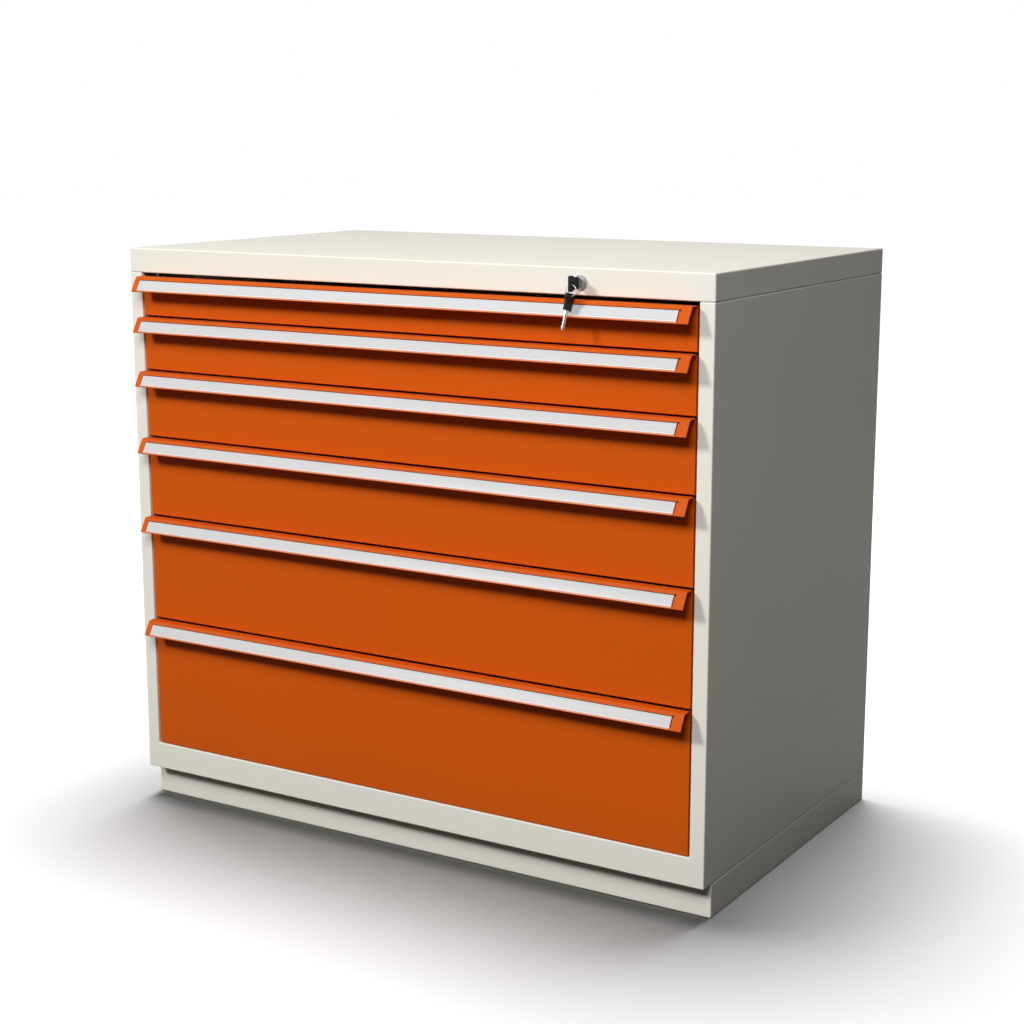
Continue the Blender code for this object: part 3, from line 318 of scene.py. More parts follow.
@dataclass(frozen=True)
class PowderCoat:
    """Stoved powder coat: fine orange peel, slight clouding, and dirt with painted shade low down.
    """

    name: str
    colour: Colour
    clouding: float = 0.025
    clouds: Grain = Grain(2.6, 3.0)
    roughness: float = 0.5
    roughness_range: float = 0.06
    rubbing: Grain = Grain(14.0, 3.0)
    gloss: float = 0.08
    peel: Grain = Grain(420.0, 1.0)
    peel_depth: float = 0.00005
    # The darkening low down is partly dirt and partly painted shade for the dimmer lower panels.
    dust_and_shade_amount: float = 0.08
    dust_and_shade: Grain = Grain(9.0, 4.0)
    dust_and_shade_colour: Colour = (0.18, 0.16, 0.13)
    dust_and_shade_height: float = 0.10
    dust_and_shade_fade: float = 0.20

    def make(self) -> bpy.types.Material:
        """Mix the coat.

        Returns:
            The material.
        """
        material, graph = new_material(self.name)
        dark, light = shade(self.colour, 1 - self.clouding), shade(self.colour, 1 + self.clouding)
        clouded = graph.blend(graph.noise(self.clouds), dark, light)
        # Mottled darkening towards the bottom, both dirt and painted shade.
        low_down = 1 - graph.axis("Z").above(self.dust_and_shade_height, self.dust_and_shade_fade)
        dust_and_shade = low_down * graph.noise(self.dust_and_shade) * self.dust_and_shade_amount
        smoothest = self.roughness - self.roughness_range / 2
        graph.surface(
            {
                "Base Color": graph.blend(dust_and_shade, clouded, self.dust_and_shade_colour),
                "Roughness": graph.noise(self.rubbing) * self.roughness_range + smoothest,
                "Specular IOR Level": self.gloss,
                "Normal": graph.bump(graph.noise(self.peel), self.peel_depth),
            }
        )
        return material


@dataclass(frozen=True)
class ZincPlate:
    """Bright zinc plating with a faint drawn grain."""

    name: str
    colour: Colour = (0.52, 0.54, 0.56)
    darkest: float = 0.88
    lightest: float = 1.1
    clouds: Grain = Grain(24.0, 3.0)
    smoothest: float = 0.28
    roughness_range: float = 0.16
    drawing: Grain = Grain(30.0, 4.0, (40.0, 3.0, 40.0))
    drawing_depth: float = 0.00002

    def make(self) -> bpy.types.Material:
        """Mix the plating.

        Returns:
            The material.
        """
        material, graph = new_material(self.name)
        drawing = graph.noise(self.drawing)
        dark, light = shade(self.colour, self.darkest), shade(self.colour, self.lightest)
        graph.surface(
            {
                "Base Color": graph.blend(graph.noise(self.clouds), dark, light),
                "Metallic": 1.0,
                "Roughness": drawing * self.roughness_range + self.smoothest,
                "Normal": graph.bump(drawing, self.drawing_depth),
            }
        )
        return material


@dataclass(frozen=True)
class NickelPlate:
    """Nickel on brass, with hair scratches and duller patches."""

    name: str
    colour: Colour = (0.66, 0.65, 0.62)
    smoothest: float = 0.3
    darkest: float = 0.85
    lightest: float = 1.12
    wear: Grain = Grain(260.0, 2.0)
    roughness_range: float = 0.2
    scratches: Grain = Grain(700.0, 3.0, (1.0, 1.0, 0.08))
    scratch_depth: float = 0.000015

    def make(self) -> bpy.types.Material:
        """Mix the plating.

        Returns:
            The material.
        """
        material, graph = new_material(self.name)
        wear = graph.noise(self.wear)
        dark, light = shade(self.colour, self.darkest), shade(self.colour, self.lightest)
        graph.surface(
            {
                "Base Color": graph.blend(wear, dark, light),
                "Metallic": 1.0,
                "Roughness": wear * self.roughness_range + self.smoothest,
                "Normal": graph.bump(graph.noise(self.scratches), self.scratch_depth),
            }
        )
        return material


@dataclass(frozen=True)
class MouldedPlastic:
    """Black moulded plastic with an eroded grain, rubbed paler in places."""

    name: str
    colour: Colour = (0.006, 0.006, 0.0065)
    palest: float = 1.9
    rubbing: Grain = Grain(90.0, 2.0)
    smoothest: float = 0.38
    roughness_range: float = 0.18
    gloss: float = 0.15
    erosion: Grain = Grain(2600.0, 2.0)
    erosion_depth: float = 0.00003

    def make(self) -> bpy.types.Material:
        """Mix the plastic.

        Returns:
            The material.
        """
        material, graph = new_material(self.name)
        rubbing = graph.noise(self.rubbing)
        graph.surface(
            {
                "Base Color": graph.blend(rubbing, self.colour, shade(self.colour, self.palest)),
                "Roughness": rubbing * self.roughness_range + self.smoothest,
                "Specular IOR Level": self.gloss,
                "Normal": graph.bump(graph.noise(self.erosion), self.erosion_depth),
            }
        )
        return material


@dataclass(frozen=True)
class LabelFilm:
    """Pale grey paper behind a clear film, with paper fibre and a slight waviness."""

    name: str
    colour: Colour = (0.58, 0.58, 0.58)
    toning: float = 0.04
    fibre: Grain = Grain(900.0, 4.0, (0.4, 1.0, 1.0))
    fibre_share: float = 0.5
    patches: Grain = Grain(5.0, 2.0)
    smoothest: float = 0.5
    roughness_range: float = 0.1
    gloss: float = 0.2
    film: float = 0.06
    film_roughness: float = 0.2
    waves: Grain = Grain(22.0, 1.0)
    wave_depth: float = 0.0002

    def make(self) -> bpy.types.Material:
        """Mix the paper and its film.

        Returns:
            The material.
        """
        material, graph = new_material(self.name)
        patches = graph.noise(self.patches)
        tone = graph.noise(self.fibre) * self.fibre_share + patches * (1 - self.fibre_share)
        dark, light = shade(self.colour, 1 - self.toning), shade(self.colour, 1 + self.toning)
        graph.surface(
            {
                "Base Color": graph.blend(tone, dark, light),
                "Roughness": patches * self.roughness_range + self.smoothest,
                "Specular IOR Level": self.gloss,
                "Coat Weight": self.film,
                "Coat Roughness": self.film_roughness,
                "Normal": graph.bump(graph.noise(self.waves), self.wave_depth),
            }
        )
        return material


@dataclass(frozen=True)
class StudioFloor:
    """Matt pale floor that keeps the shadow, fades into the white and throws little light back."""

    name: str
    colour: Colour = (0.35, 0.35, 0.35)
    mottling: float = 0.01
    mottle: Grain = Grain(1.3, 2.0)
    bounce: Colour = (0.02, 0.02, 0.02)
    glow: Colour = (0.01, 0.01, 0.01)
    near: float = 1.4
    far: float = 3.6
    roughness: float = 0.9
    gloss: float = 0.1

    def make(self) -> bpy.types.Material:
        """Mix the floor: its own colour near the cabinet, white beyond.

        Returns:
            The material.
        """
        material, graph = new_material(self.name)
        distance = graph.node("ShaderNodeVectorMath", {"operation": "LENGTH"}, {0: graph.place()})
        away = Term(graph, distance.outputs["Value"])
        fade = away.above((self.near + self.far) / 2, self.far - self.near)
        dark, light = shade(self.colour, 1 - self.mottling), shade(self.colour, 1 + self.mottling)
        pale = graph.blend(graph.noise(self.mottle), dark, light)
        glow = graph.blend(fade, self.glow, WHITE)
        graph.surface(
            {
                "Base Color": graph.blend(seen_directly(graph), self.bounce, pale),
                "Roughness": self.roughness,
                "Specular IOR Level": self.gloss,
                "Emission Color": graph.blend(seen_directly(graph), BLACK, glow),
                "Emission Strength": 1.0,
            }
        )
        return material


def seen_directly(graph: Graph) -> Term:
    """Tell rays from the camera, mirrors or glass from the rest.

    Args:
        graph: the graph of the material or of the world.

    Returns:
        1 for those rays and 0 for the rest.
    """
    path = graph.node("ShaderNodeLightPath")
    names = ("Is Camera Ray", "Is Glossy Ray", "Is Transmission Ray")
    camera, glossy, through = (Term(graph, path.outputs[name]) for name in names)
    return 1 - (1 - camera) * (1 - glossy) * (1 - through)


def new_piece(
    name: str, bm: bmesh.types.BMesh, finishes: Sequence[bpy.types.Material]
) -> bpy.types.Object:
    """Turn a bmesh into an object in the scene.

    Args:
        name: the object's name.
        bm: the mesh being built, which is freed.
        finishes: the materials, in slot order.

    Returns:
        The new object.
    """
    bmesh.ops.recalc_face_normals(bm, faces=bm.faces)
    data = bpy.data.meshes.new(name)
    bm.to_mesh(data)
    bm.free()
    for finish in finishes:
        data.materials.append(finish)
    piece = bpy.data.objects.new(name, data)
    bpy.context.scene.collection.objects.link(piece)
    return piece


def soften(piece: bpy.types.Object, width: float, segments: int) -> None:
    """Round a piece's sharp edges and shade it smooth.

    Args:
        piece: the object.
        width: the rounding's width, in metres.
        segments: how many facets it has.
    """
    piece.data.shade_smooth()
    bevel = piece.modifiers.new("rounding", "BEVEL")
    bevel.width = width
    bevel.segments = segments
    bevel.limit_method = "ANGLE"
    bevel.angle_limit = ROUNDED_ANGLE
    bevel.harden_normals = True


def prism(
    bm: bmesh.types.BMesh, outline: Iterable[Point], start: float, end: float, place: Matrix
) -> None:
    """Extrude an outline from one height to another.

    Args:
        bm: the mesh that it is added to.
        outline: the points in the local XY plane.
        start: the lower local Z.
        end: the upper local Z.
        place: from local to scene coordinates.
    """
    bottom = [bm.verts.new(place @ Vector((x, y, start))) for x, y in outline]
    face = bm.faces.new(bottom)
    made = bmesh.ops.extrude_face_region(bm, geom=[face])["geom"]
    moved = [item for item in made if isinstance(item, bmesh.types.BMVert)]
    lift = place.to_3x3() @ Vector((0, 0, end - start))
    bmesh.ops.translate(bm, verts=moved, vec=lift)


def arc(centre: Point, radius: float, start: float, turn: float, steps: int) -> list[Point]:
    """Return points along an arc.

    Args:
        centre: its centre.
        radius: its radius.
        start: the first point's angle, in radians.
        turn: how far it turns, in radians.
        steps: how many chords it has.

    Returns:
        The points, both ends included.
    """
    angles = [start + turn * i / steps for i in range(steps + 1)]
    return [(centre[0] + radius * math.cos(a), centre[1] + radius * math.sin(a)) for a in angles]


def baked(piece: bpy.types.Object) -> None:
    """Store a piece's mesh as its modifiers leave it, and drop them.

    Args:
        piece: the object.
    """
    graph = bpy.context.evaluated_depsgraph_get()
    data = bpy.data.meshes.new_from_object(piece.evaluated_get(graph))
    piece.modifiers.clear()
    piece.data = data


def carve(piece: bpy.types.Object, tool: bpy.types.Object) -> None:
    """Cut a tool out of a piece and remove the tool.

    Args:
        piece: the object that is cut.
        tool: the object that gives the cut its shape.
    """
    change = piece.modifiers.new("cut", "BOOLEAN")
    change.operation = "DIFFERENCE"
    change.solver = "EXACT"
    change.object = tool
    baked(piece)
    bpy.data.objects.remove(tool)


def dress(node: str, finish: bpy.types.Material) -> None:
    """Give a CAD node its finish and smooth its bends.

    Args:
        node: the node's name.
        finish: the material.
    """
    piece = frame["nodes"][node]
    piece.data.materials.clear()
    piece.data.materials.append(finish)
    piece.data.shade_smooth()
    weld = piece.modifiers.new("weld", "WELD")
    weld.merge_threshold = WELD_DISTANCE
    split = piece.modifiers.new("sharp_edges", "EDGE_SPLIT")
    split.split_angle = BEND_ANGLE
    even = piece.modifiers.new("even_shading", "WEIGHTED_NORMAL")
    even.weight = FACE_WEIGHT


@dataclass
class Body:
    """The folded sheet body: plinth, floor, frame, sides, back and cover."""

    coat: bpy.types.Material
    sheets: tuple[str, ...] = (
        "plinth_frame",
        "floor_panel",
        "front_frame",
        "left_side_panel",
        "right_side_panel",
        "back_panel",
        "top_cover",
    )

    def dress(self) -> None:
        """Coat every sheet."""
        for sheet in self.sheets:
            dress(sheet, self.coat)
        LOG.info("body: %d sheets", len(self.sheets))


@dataclass
class Drawer:
    """One drawer: folded front with its grip, label, tray and middle rails."""

    number: int
    front_coat: bpy.types.Material
    tray_coat: bpy.types.Material
    zinc: bpy.types.Material
    label: bpy.types.Material
    # A pale copy of the film, painted as a highlight along the cover's lower rim.
    label_painted_highlight: bpy.types.Material
    # A dark brown copy of the film, painted as shadow under the cover's top rim and in the slit at
    # its right end.
    label_painted_shadow: bpy.types.Material
    label_lip: bpy.types.Material
    lean: float = math.radians(30)
    dome_rise: float = 0.0003
    dome_steps: int = 6
    rim: float = 0.0009
    slit: float = 0.0017
    lip_seat: float = 0.00093
    lip_gap: float = 0.0003
    lip_height: float = 0.0024
    lip_thickness: float = 0.0002

    @property
    def body(self) -> str:
        """Return the name of the drawer's body."""
        return f"drawer_{self.number}"

    def dress(self) -> None:
        """Coat the front and the tray, and plate the rails."""
        dress(f"{self.body}_front", self.front_coat)
        dress(f"{self.body}_box", self.tray_coat)
        dress(f"{self.body}_left_middle_rail", self.zinc)
        dress(f"{self.body}_right_middle_rail", self.zinc)
        LOG.info("%s: front, tray and rails", self.body)

    def build_label(self) -> None:
        """Replace the plain strip with paper behind a clear, slightly domed cover."""
        node = f"{self.body}_label_strip"
        low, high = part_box(node)
        cosine, sine = math.cos(self.lean), math.sin(self.lean)
        run, out = high.z - low.z, high.y - low.y
        length = (run * cosine - out * sine) / (cosine**2 - sine**2)
        thickness = (out * cosine - run * sine) / (cosine**2 - sine**2)
        down = Vector((0, -sine, -cosine))
        outward = Vector((0, -cosine, sine))
        place = Matrix((Vector((1, 0, 0)), down, outward)).transposed().to_4x4()
        place.translation = Vector((0, high.y, high.z - thickness * sine))
        bm = self._strip((low.x, high.x), length, thickness, place)
        finishes = [self.label, self.label_painted_highlight, self.label_painted_shadow, self.label_lip]
        piece = new_piece(f"{self.body}_label", bm, finishes)
        # Each face takes the paper, the lip, or painted light: a highlight on the lower rim, shadow
        # on the top rim and in the slit.
        for face in piece.data.polygons:
            centre = place.inverted() @ face.center
            face.material_index = self._part(centre, high.x, length).value
        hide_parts(node)
        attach(piece, self.body)
        LOG.info("%s: %.1f mm by %.1f mm", piece.name, (high.x - low.x) * 1000, length * 1000)

    def _strip(
        self, ends: Point, length: float, thickness: float, place: Matrix
    ) -> bmesh.types.BMesh:
        """Extrude the domed cover and its lower lip, and mark off the band at its right end, which
        is painted as shadow in the slit.

        Args:
            ends: the strip's left and right X.
            length: its height along the grip's plate.
            thickness: its thickness.
            place: the grip plate's frame, with Y down the plate and Z outwards.

        Returns:
            The mesh.
        """
        left, right = ends
        along = place @ Matrix(((0, 0, 1, 0), (1, 0, 0, 0), (0, 1, 0, 0), (0, 0, 0, 1)))
        bm = bmesh.new()
        prism(bm, self._cover_outline(length, thickness), left, right, along)
        bmesh.ops.remove_doubles(bm, verts=bm.verts, dist=MERGE_DISTANCE)
        # The band past this cut gets painted shadow for the slit.
        slit = right - self.slit
        parts = [*bm.verts, *bm.edges, *bm.faces]
        bmesh.ops.bisect_plane(bm, geom=parts, plane_co=(slit, 0, 0), plane_no=(1, 0, 0))
        lip_top, lip_back = length + self.lip_gap, self.lip_seat
        lip_foot, lip_face = lip_top + self.lip_height, lip_back + self.lip_thickness
        lip = [(lip_top, lip_back), (lip_top, lip_face), (lip_foot, lip_face), (lip_foot, lip_back)]
        prism(bm, lip, left, slit, along)
        return bm

    def _cover_outline(self, length: float, thickness: float) -> list[Point]:
        """Draw the cover's section: a flat rim, a low dome and a flat rim.

        Args:
            length: its height along the grip's plate.
            thickness: its thickness.

        Returns:
            The points, each down the plate and out from it.
        """
        top, bottom = self.rim, length - self.rim
        dome = []
        for i in range(self.dome_steps + 1):
            t = i / self.dome_steps
            sunk = self.dome_rise * (1 - math.sin(math.pi * t))
            dome.append((top + (bottom - top) * t, thickness - sunk))
        start = [(0.0, 0.0), (0.0, thickness), (top, thickness)]
        return start + dome + [(bottom, thickness), (length, thickness), (length, 0.0)]

    def _part(self, centre: Vector, right: float, length: float) -> StripSlot:
        """Tell which part of the label a face belongs to.

        Args:
            centre: the face's centre in the grip plate's frame.
            right: the strip's right end's X.
            length: the strip's height along the plate.

        Returns:
            The part's material slot.
        """
        # Painted shadow under the top rim and in the slit at the right end; painted highlight along
        # the lower rim.
        if centre.y < self.rim or centre.x > right - self.slit:
            return StripSlot.PAINTED_SHADOW
        if centre.y > length:
            return StripSlot.LIP
        return StripSlot.EDGE if centre.y > length - self.rim else StripSlot.FILM


@dataclass
class Runners:
    """The uprights and cabinet rails on both sides."""

    zinc: bpy.types.Material

    def dress(self) -> None:
        """Plate both frames."""
        for side in ("left", "right"):
            dress(f"{side}_runner_frame", self.zinc)
        LOG.info("runners: two frames")


@dataclass
class CentralLock:
    """The lock in the cover, and the works behind it."""

    nickel: bpy.types.Material
    zinc: bpy.types.Material
    fronts: tuple[str, ...] = ("lock_housing", "lock_plug")
    works: tuple[str, ...] = (
        "lock_nut",
        "lock_cam",
        "cam_screw",
        "transfer_rod",
        "rod_guide",
        "bell_crank",
        "crank_bracket",
        "locking_bar",
        "upper_bar_guide",
        "lower_bar_guide",
    )

    def dress(self) -> None:
        """Plate the lock and its works."""
        for node in self.fronts:
            dress(node, self.nickel)
        for node in self.works:
            dress(node, self.zinc)
        LOG.info("lock: %d pieces", len(self.fronts) + len(self.works))


@dataclass
class Keys:
    """The key in the lock, the split ring and the spare key."""

    nickel: bpy.types.Material
    plastic: bpy.types.Material
    lock_x: float = 0.3595
    below_top: float = 0.0240
    stand_off: float = 0.0101
    bow_length: float = 0.0272
    bow_width: float = 0.0255
    neck_width: float = 0.0198
    neck_length: float = 0.0125
    flare_length: float = 0.0080
    bow_thickness: float = 0.0044
    bow_corner: float = 0.0015
    bow_edge: float = 0.0006
    corner_facets: int = 4
    flare_facets: int = 8
    edge_facets: int = 2
    panel_inset: float = 0.0030
    panel_depth: float = 0.0003
    hole_radius: float = 0.0026
    hole_facets: int = 24
    hole_from_end: float = 0.0062
    hang: float = 0.00124
    blade_length: float = 0.0320
    blade_in_bow: float = 0.0060
    blade_width: float = 0.0080
    blade_thickness: float = 0.0020
    blade_edge: float = 0.0002
    blade_tip: float = 0.0031
    tip_facets: int = 5
    groove_radius: float = 0.0007
    groove_swing: float = 0.0013
    groove_waves: float = 3.0
    groove_ends: float = 0.002
    groove_steps: int = 42
    groove_facets: int = 8
    ring_radius: float = 0.0094
    ring_wire: float = 0.00045
    ring_turns: int = 2
    ring_steps: int = 36
    ring_start: float = math.radians(-60)
    ring_lean: float = math.radians(6)
    spare_lean: float = math.radians(7)
    spare_tilt: float = math.radians(6.5)
    lock: Matrix = field(init=False)
    swing: Matrix = field(init=False)

    def __post_init__(self) -> None:
        """Work out where the lock's axis and the ring's pivot are."""
        low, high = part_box("top_cover")
        place = Matrix.Translation((self.lock_x, low.y, high.z - self.below_top))
        self.lock = place @ Matrix.Rotation(QUARTER_TURN, 4, "X")
        hole_out = self.stand_off + self.bow_length - self.hole_from_end
        pivot = Matrix.Translation((0, -self.hang, hole_out))
        self.swing = self.lock @ pivot @ Matrix.Rotation(-self.ring_lean, 4, "X")

    def held_place(self) -> Matrix:
        """Return the frame of the key in the lock, with X along the blade."""
        out = Matrix.Translation((0, 0, self.stand_off))
        return self.lock @ out @ Matrix.Rotation(QUARTER_TURN, 4, "Y")

    def spare_place(self) -> Matrix:
        """Hang the spare key from the ring by its hole.

        Returns:
            The key's frame, with X along the blade.
        """
        centre = Matrix.Translation((0, -self.ring_radius, 0))
        tilt = Matrix.Rotation(-self.spare_tilt, 4, "Z")
        lean = Matrix.Rotation(-self.spare_lean, 4, "X")
        hole = Matrix.Translation((0, -self.hang, 0))
        down = Matrix.Rotation(-QUARTER_TURN, 4, "Z") @ Matrix.Rotation(QUARTER_TURN, 4, "X")
        back = Matrix.Translation((self.hole_from_end - self.bow_length, 0, 0))
        return self.swing @ centre @ tilt @ centre @ lean @ hole @ down @ back.inverted()

    def build(self) -> None:
        """Build both keys and the ring."""
        self._bow("key_bow_moulding", "key_bow", "lock_plug", self.held_place())
        self._blade("key_blade_milled", "key_blade", "lock_plug", self.held_place())
        self._bow("spare_bow_moulding", "spare_key_bow", "spare_key", self.spare_place())
        self._blade("spare_blade_milled", "spare_key_blade", "spare_key", self.spare_place())
        self._ring()

    def _bow(self, name: str, node: str, body: str, place: Matrix) -> None:
        """Mould a bow: rounded plate, ring hole and a sunk panel on each face.

        Args:
            name: the piece's name.
            node: the CAD node that it stands for.
            body: the body that it rides on.
            place: the key's frame.
        """
        bm = bmesh.new()
        depth = self.bow_thickness / 2
        prism(bm, self._bow_outline(), -depth, depth, place)
        piece = new_piece(name, bm, [self.plastic])
        hole_x = self.hole_from_end - self.bow_length
        hole = arc((hole_x, 0.0), self.hole_radius, 0.0, math.tau, self.hole_facets)[:-1]
        tool = bmesh.new()
        prism(tool, hole, -2 * depth, 2 * depth, place)
        carve(piece, new_piece("hole_tool", tool, []))
        self._sink_panels(piece, hole_x, place)
        soften(piece, self.bow_edge, self.edge_facets)
        self._hang(piece, node, body, "key_plastic")

    def _bow_outline(self) -> list[Point]:
        """Draw the bow: wide at the ring, narrower at the blade, with a soft flare between.

        Returns:
            The outline's points.
        """
        radius, wide, slim = self.bow_corner, self.bow_width / 2, self.neck_width / 2
        quarter, facets = math.pi / 2, self.corner_facets
        half = arc((-radius, slim - radius), radius, 0.0, quarter, facets)
        for i in range(self.flare_facets + 1):
            t = i / self.flare_facets
            rise = (1 - math.cos(math.pi * t)) / 2
            half.append((-self.neck_length - self.flare_length * t, slim + (wide - slim) * rise))
        half += arc((radius - self.bow_length, wide - radius), radius, quarter, quarter, facets)
        return half + [(x, -y) for x, y in reversed(half)]

    def _sink_panels(self, piece: bpy.types.Object, hole_x: float, place: Matrix) -> None:
        """Sink a shallow panel into both faces, between the ring hole and the blade.

        Args:
            piece: the bow.
            hole_x: the hole's centre along the key.
            place: the key's frame.
        """
        left = hole_x + self.hole_radius + self.panel_inset / 2
        right, half = -self.panel_inset, self.neck_width / 2 - self.panel_inset
        outline = [(left, -half), (right, -half), (right, half), (left, half)]
        depth = self.bow_thickness / 2
        for side in (-1, 1):
            tool = bmesh.new()
            inner, outer = side * (depth - self.panel_depth), side * 2 * depth
            prism(tool, outline, min(inner, outer), max(inner, outer), place)
            carve(piece, new_piece("panel_tool", tool, []))

    def _blade(self, name: str, node: str, body: str, place: Matrix) -> None:
        """Mill a flat blade with a rounded tip and a wavy track on each face.

        Args:
            name: the piece's name.
            node: the CAD node that it stands for.
            body: the body that it rides on.
            place: the key's frame.
        """
        half, radius = self.blade_width / 2, self.blade_tip
        start, tip = -self.blade_in_bow, self.blade_length
        outline = [(start, -half)]
        quarter, facets = math.pi / 2, self.tip_facets
        outline += arc((tip - radius, radius - half), radius, -quarter, quarter, facets)
        outline += arc((tip - radius, half - radius), radius, 0.0, quarter, facets)
        outline.append((start, half))
        bm = bmesh.new()
        depth = self.blade_thickness / 2
        prism(bm, outline, -depth, depth, place)
        piece = new_piece(name, bm, [self.nickel])
        for side in (-1, 1):
            carve(piece, self._track_tool(side * (depth + self.groove_radius / 4), place))
        soften(piece, self.blade_edge, 1)
        self._hang(piece, node, body, "nickel")

    def _track_tool(self, height: float, place: Matrix) -> bpy.types.Object:
        """Sweep a round cutter along the blade's wavy track.

        Args:
            height: how far the track runs off the blade's middle plane.
            place: the key's frame.

        Returns:
            The cutter.
        """
        sides = self.groove_facets
        run = self.blade_length - 2 * self.groove_ends
        bm = bmesh.new()
        rings = []
        for i in range(self.groove_steps + 1):
            t = i / self.groove_steps
            x = self.groove_ends + run * t
            sway = self.groove_swing * math.sin(math.tau * self.groove_waves * t)
            points = arc((sway, height), self.groove_radius, 0.0, math.tau, sides)[:-1]
            rings.append([bm.verts.new(place @ Vector((x, y, z))) for y, z in points])
        for low, high in zip(rings, rings[1:]):
            for k in range(sides):
                bm.faces.new((low[k], low[(k + 1) % sides], high[(k + 1) % sides], high[k]))
        bm.faces.new(rings[0])
        bm.faces.new(rings[-1])
        return new_piece("track_tool", bm, [])

    def _ring(self) -> None:
        """Coil the split ring: turns of round wire that lie side by side."""
        curve = bpy.data.curves.new("split_ring", "CURVE")
        curve.dimensions = "3D"
        curve.bevel_depth = self.ring_wire
        curve.bevel_resolution = 2
        curve.use_fill_caps = True
        spline = curve.splines.new("POLY")
        count = self.ring_turns * self.ring_steps
        spline.points.add(count)
        centre = self.swing @ Matrix.Translation((0, -self.ring_radius, 0))
        for i, point in enumerate(spline.points):
            angle = self.ring_start + math.tau * i / self.ring_steps
            step = (i / count - 0.5) * self.ring_turns * 2 * self.ring_wire
            x, y = self.ring_radius * math.cos(angle), self.ring_radius * math.sin(angle)
            point.co = (*(centre @ Vector((x, y, step))), 1.0)
        piece = bpy.data.objects.new("split_ring", curve)
        curve.materials.append(self.nickel)
        bpy.context.scene.collection.objects.link(piece)
        self._hang(piece, "key_ring", "key_ring", "nickel")

    def _hang(self, piece: bpy.types.Object, node: str, body: str, slot: str) -> None:
        """Put a piece in its CAD node's place.

        Args:
            piece: the new piece.
            node: the CAD node that it stands for.
            body: the body that it rides on.
            slot: the record's material slot; not used.
        """
        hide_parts(node)
        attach(piece, body)
        LOG.info("%s stands for %s", piece.name, node)


@dataclass(frozen=True)
class SoftBox:
    """A soft box: where it hangs, what it faces, its width and height, its watts and reach."""

    name: str
    place: Triple
    target: Triple
    size: Point
    power: float
    reach: Reach = Reach.ALL_BUT_FLOOR


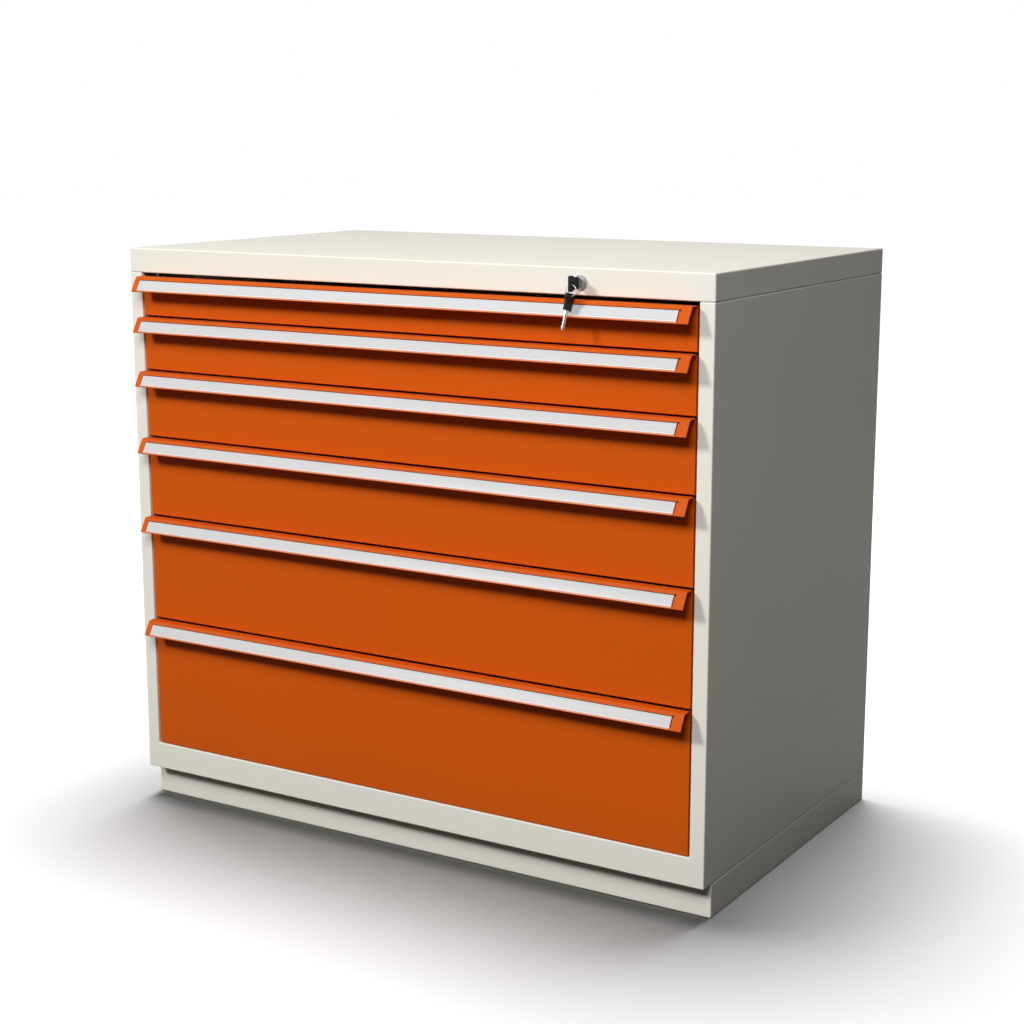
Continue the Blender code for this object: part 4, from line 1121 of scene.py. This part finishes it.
@dataclass
class Studio:
    """Floor, lights, surroundings and camera.

    The floor has a soft box of its own, because the photograph's shadow is softer and more
    neutral than the one that the other boxes would throw.
    """

    camera_place: Triple = (1.8690, -2.9915, 1.2828)
    camera_degrees: Triple = (78.563, 0.0, 31.582)
    lens_millimetres: float = 67.41
    sensor_millimetres: float = 36.0
    floor_radius: float = 30.0
    floor_segments: int = 96
    ambient: Colour = (0.05, 0.05, 0.05)
    boxes: tuple[SoftBox, ...] = (
        SoftBox("key_light", (-4.0, -6.0, 4.9), (0.0, -0.3, 0.6), (1.4, 1.4), 390.0),
        SoftBox("fill_light", (1.1, -3.15, 3.1), (0.0, -0.3, 0.7), (1.7, 1.3), 94.0),
        SoftBox("top_light", (0.0, 0.2, 3.4), (0.0, 0.2, 0.0), (2.4, 2.0), 18.0),
        SoftBox(
            "floor_light", (-0.3, 0.48, 4.0), (-0.1, 0.3, 0.0), (2.6, 2.0), 740.0, Reach.FLOOR_ALONE
        ),
        SoftBox("back_light", (-0.9, 3.6, 0.7), (0.0, 0.4, 0.5), (1.8, 0.6), 55.0),
    )

    def build(self) -> None:
        """Set up everything round the cabinet."""
        floor = self._floor()
        self._world()
        for box in self.boxes:
            self._limit(self._hang(box), floor, box.reach)
        self._camera()
        LOG.info("studio: floor, %d soft boxes, surroundings and camera", len(self.boxes))

    def _floor(self) -> bpy.types.Object:
        """Lay the round floor, which isn't part of the cabinet.

        Returns:
            The floor.
        """
        bm = bmesh.new()
        bmesh.ops.create_circle(
            bm, cap_ends=True, segments=self.floor_segments, radius=self.floor_radius
        )
        floor = new_piece("studio_floor", bm, [StudioFloor("studio_floor").make()])
        if floor.data.polygons[0].normal.z < 0:
            floor.data.flip_normals()
        return floor

    def _world(self) -> None:
        """Surround the set with white that lights it only softly."""
        world = bpy.data.worlds.new("surroundings")
        bpy.context.scene.world = world
        world.use_nodes = True
        graph = Graph(world.node_tree)
        seen = graph.blend(seen_directly(graph), self.ambient, WHITE)
        back = graph.node("ShaderNodeBackground", None, {0: seen, 1: 1.0})
        graph.node("ShaderNodeOutputWorld", None, {0: back.outputs[0]})

    def _hang(self, box: SoftBox) -> bpy.types.Object:
        """Hang a soft box, unseen by the camera itself.

        Args:
            box: the soft box.

        Returns:
            The light.
        """
        data = bpy.data.lights.new(box.name, "AREA")
        data.shape = "RECTANGLE"
        data.size, data.size_y = box.size
        data.energy = box.power
        light = bpy.data.objects.new(box.name, data)
        light.location = box.place
        aim = Vector(box.target) - Vector(box.place)
        light.rotation_euler = aim.to_track_quat("-Z", "Y").to_euler()
        light.visible_camera = False
        bpy.context.scene.collection.objects.link(light)
        return light

    def _limit(self, light: bpy.types.Object, floor: bpy.types.Object, reach: Reach) -> None:
        """Keep a light off the floor, or on the floor alone.

        Args:
            light: the light.
            floor: the floor.
            reach: which of the two.
        """
        group = bpy.data.collections.new(f"{light.name}_receivers")
        group.objects.link(floor)
        group.collection_objects[0].light_linking.link_state = reach.value
        light.light_linking.receiver_collection = group

    def _camera(self) -> None:
        """Stand the camera where the photograph was taken."""
        data = bpy.data.cameras.new("camera")
        data.sensor_width = self.sensor_millimetres
        data.lens = self.lens_millimetres
        camera = bpy.data.objects.new("camera", data)
        camera.location = self.camera_place
        camera.rotation_euler = [math.radians(angle) for angle in self.camera_degrees]
        bpy.context.scene.collection.objects.link(camera)
        bpy.context.scene.camera = camera


def main() -> None:
    """Build and dress the cabinet, and set up the studio."""
    logging.basicConfig(level=logging.INFO, format="%(message)s")
    cream = PowderCoat("cream_powder_coat", CREAM).make()
    tray = PowderCoat("tray_powder_coat", TRAY_CREAM, dust_and_shade_amount=0.0).make()
    orange = PowderCoat("orange_powder_coat", ORANGE, clouding=0.035).make()
    zinc = ZincPlate("zinc_plate").make()
    nickel = NickelPlate("nickel_plate").make()
    satin = NickelPlate("satin_nickel", SATIN_GREY, smoothest=0.36).make()
    plastic = MouldedPlastic("black_plastic").make()
    label = LabelFilm("label_film").make()
    # A paler copy of the film, painted as a highlight along the cover's lower rim.
    edge = LabelFilm("label_film_painted_highlight", COVER_EDGE_HIGHLIGHT).make()
    # A dark brown copy of the film, painted as shadow under the cover's top rim and in the slit at
    # its right end.
    slit = LabelFilm("label_painted_shadow", SLIT_SHADE, film=0.0).make()
    lip = LabelFilm("label_lip", LIP_TINT).make()
    Body(cream).dress()
    Runners(zinc).dress()
    for number in range(1, DRAWER_COUNT + 1):
        drawer = Drawer(number, orange, tray, zinc, label, edge, slit, lip)
        drawer.dress()
        drawer.build_label()
    CentralLock(satin, zinc).dress()
    Keys(nickel, plastic).build()
    Studio().build()
    bpy.context.scene.view_settings.view_transform = "Standard"


if __name__ == "__main__":
    main()
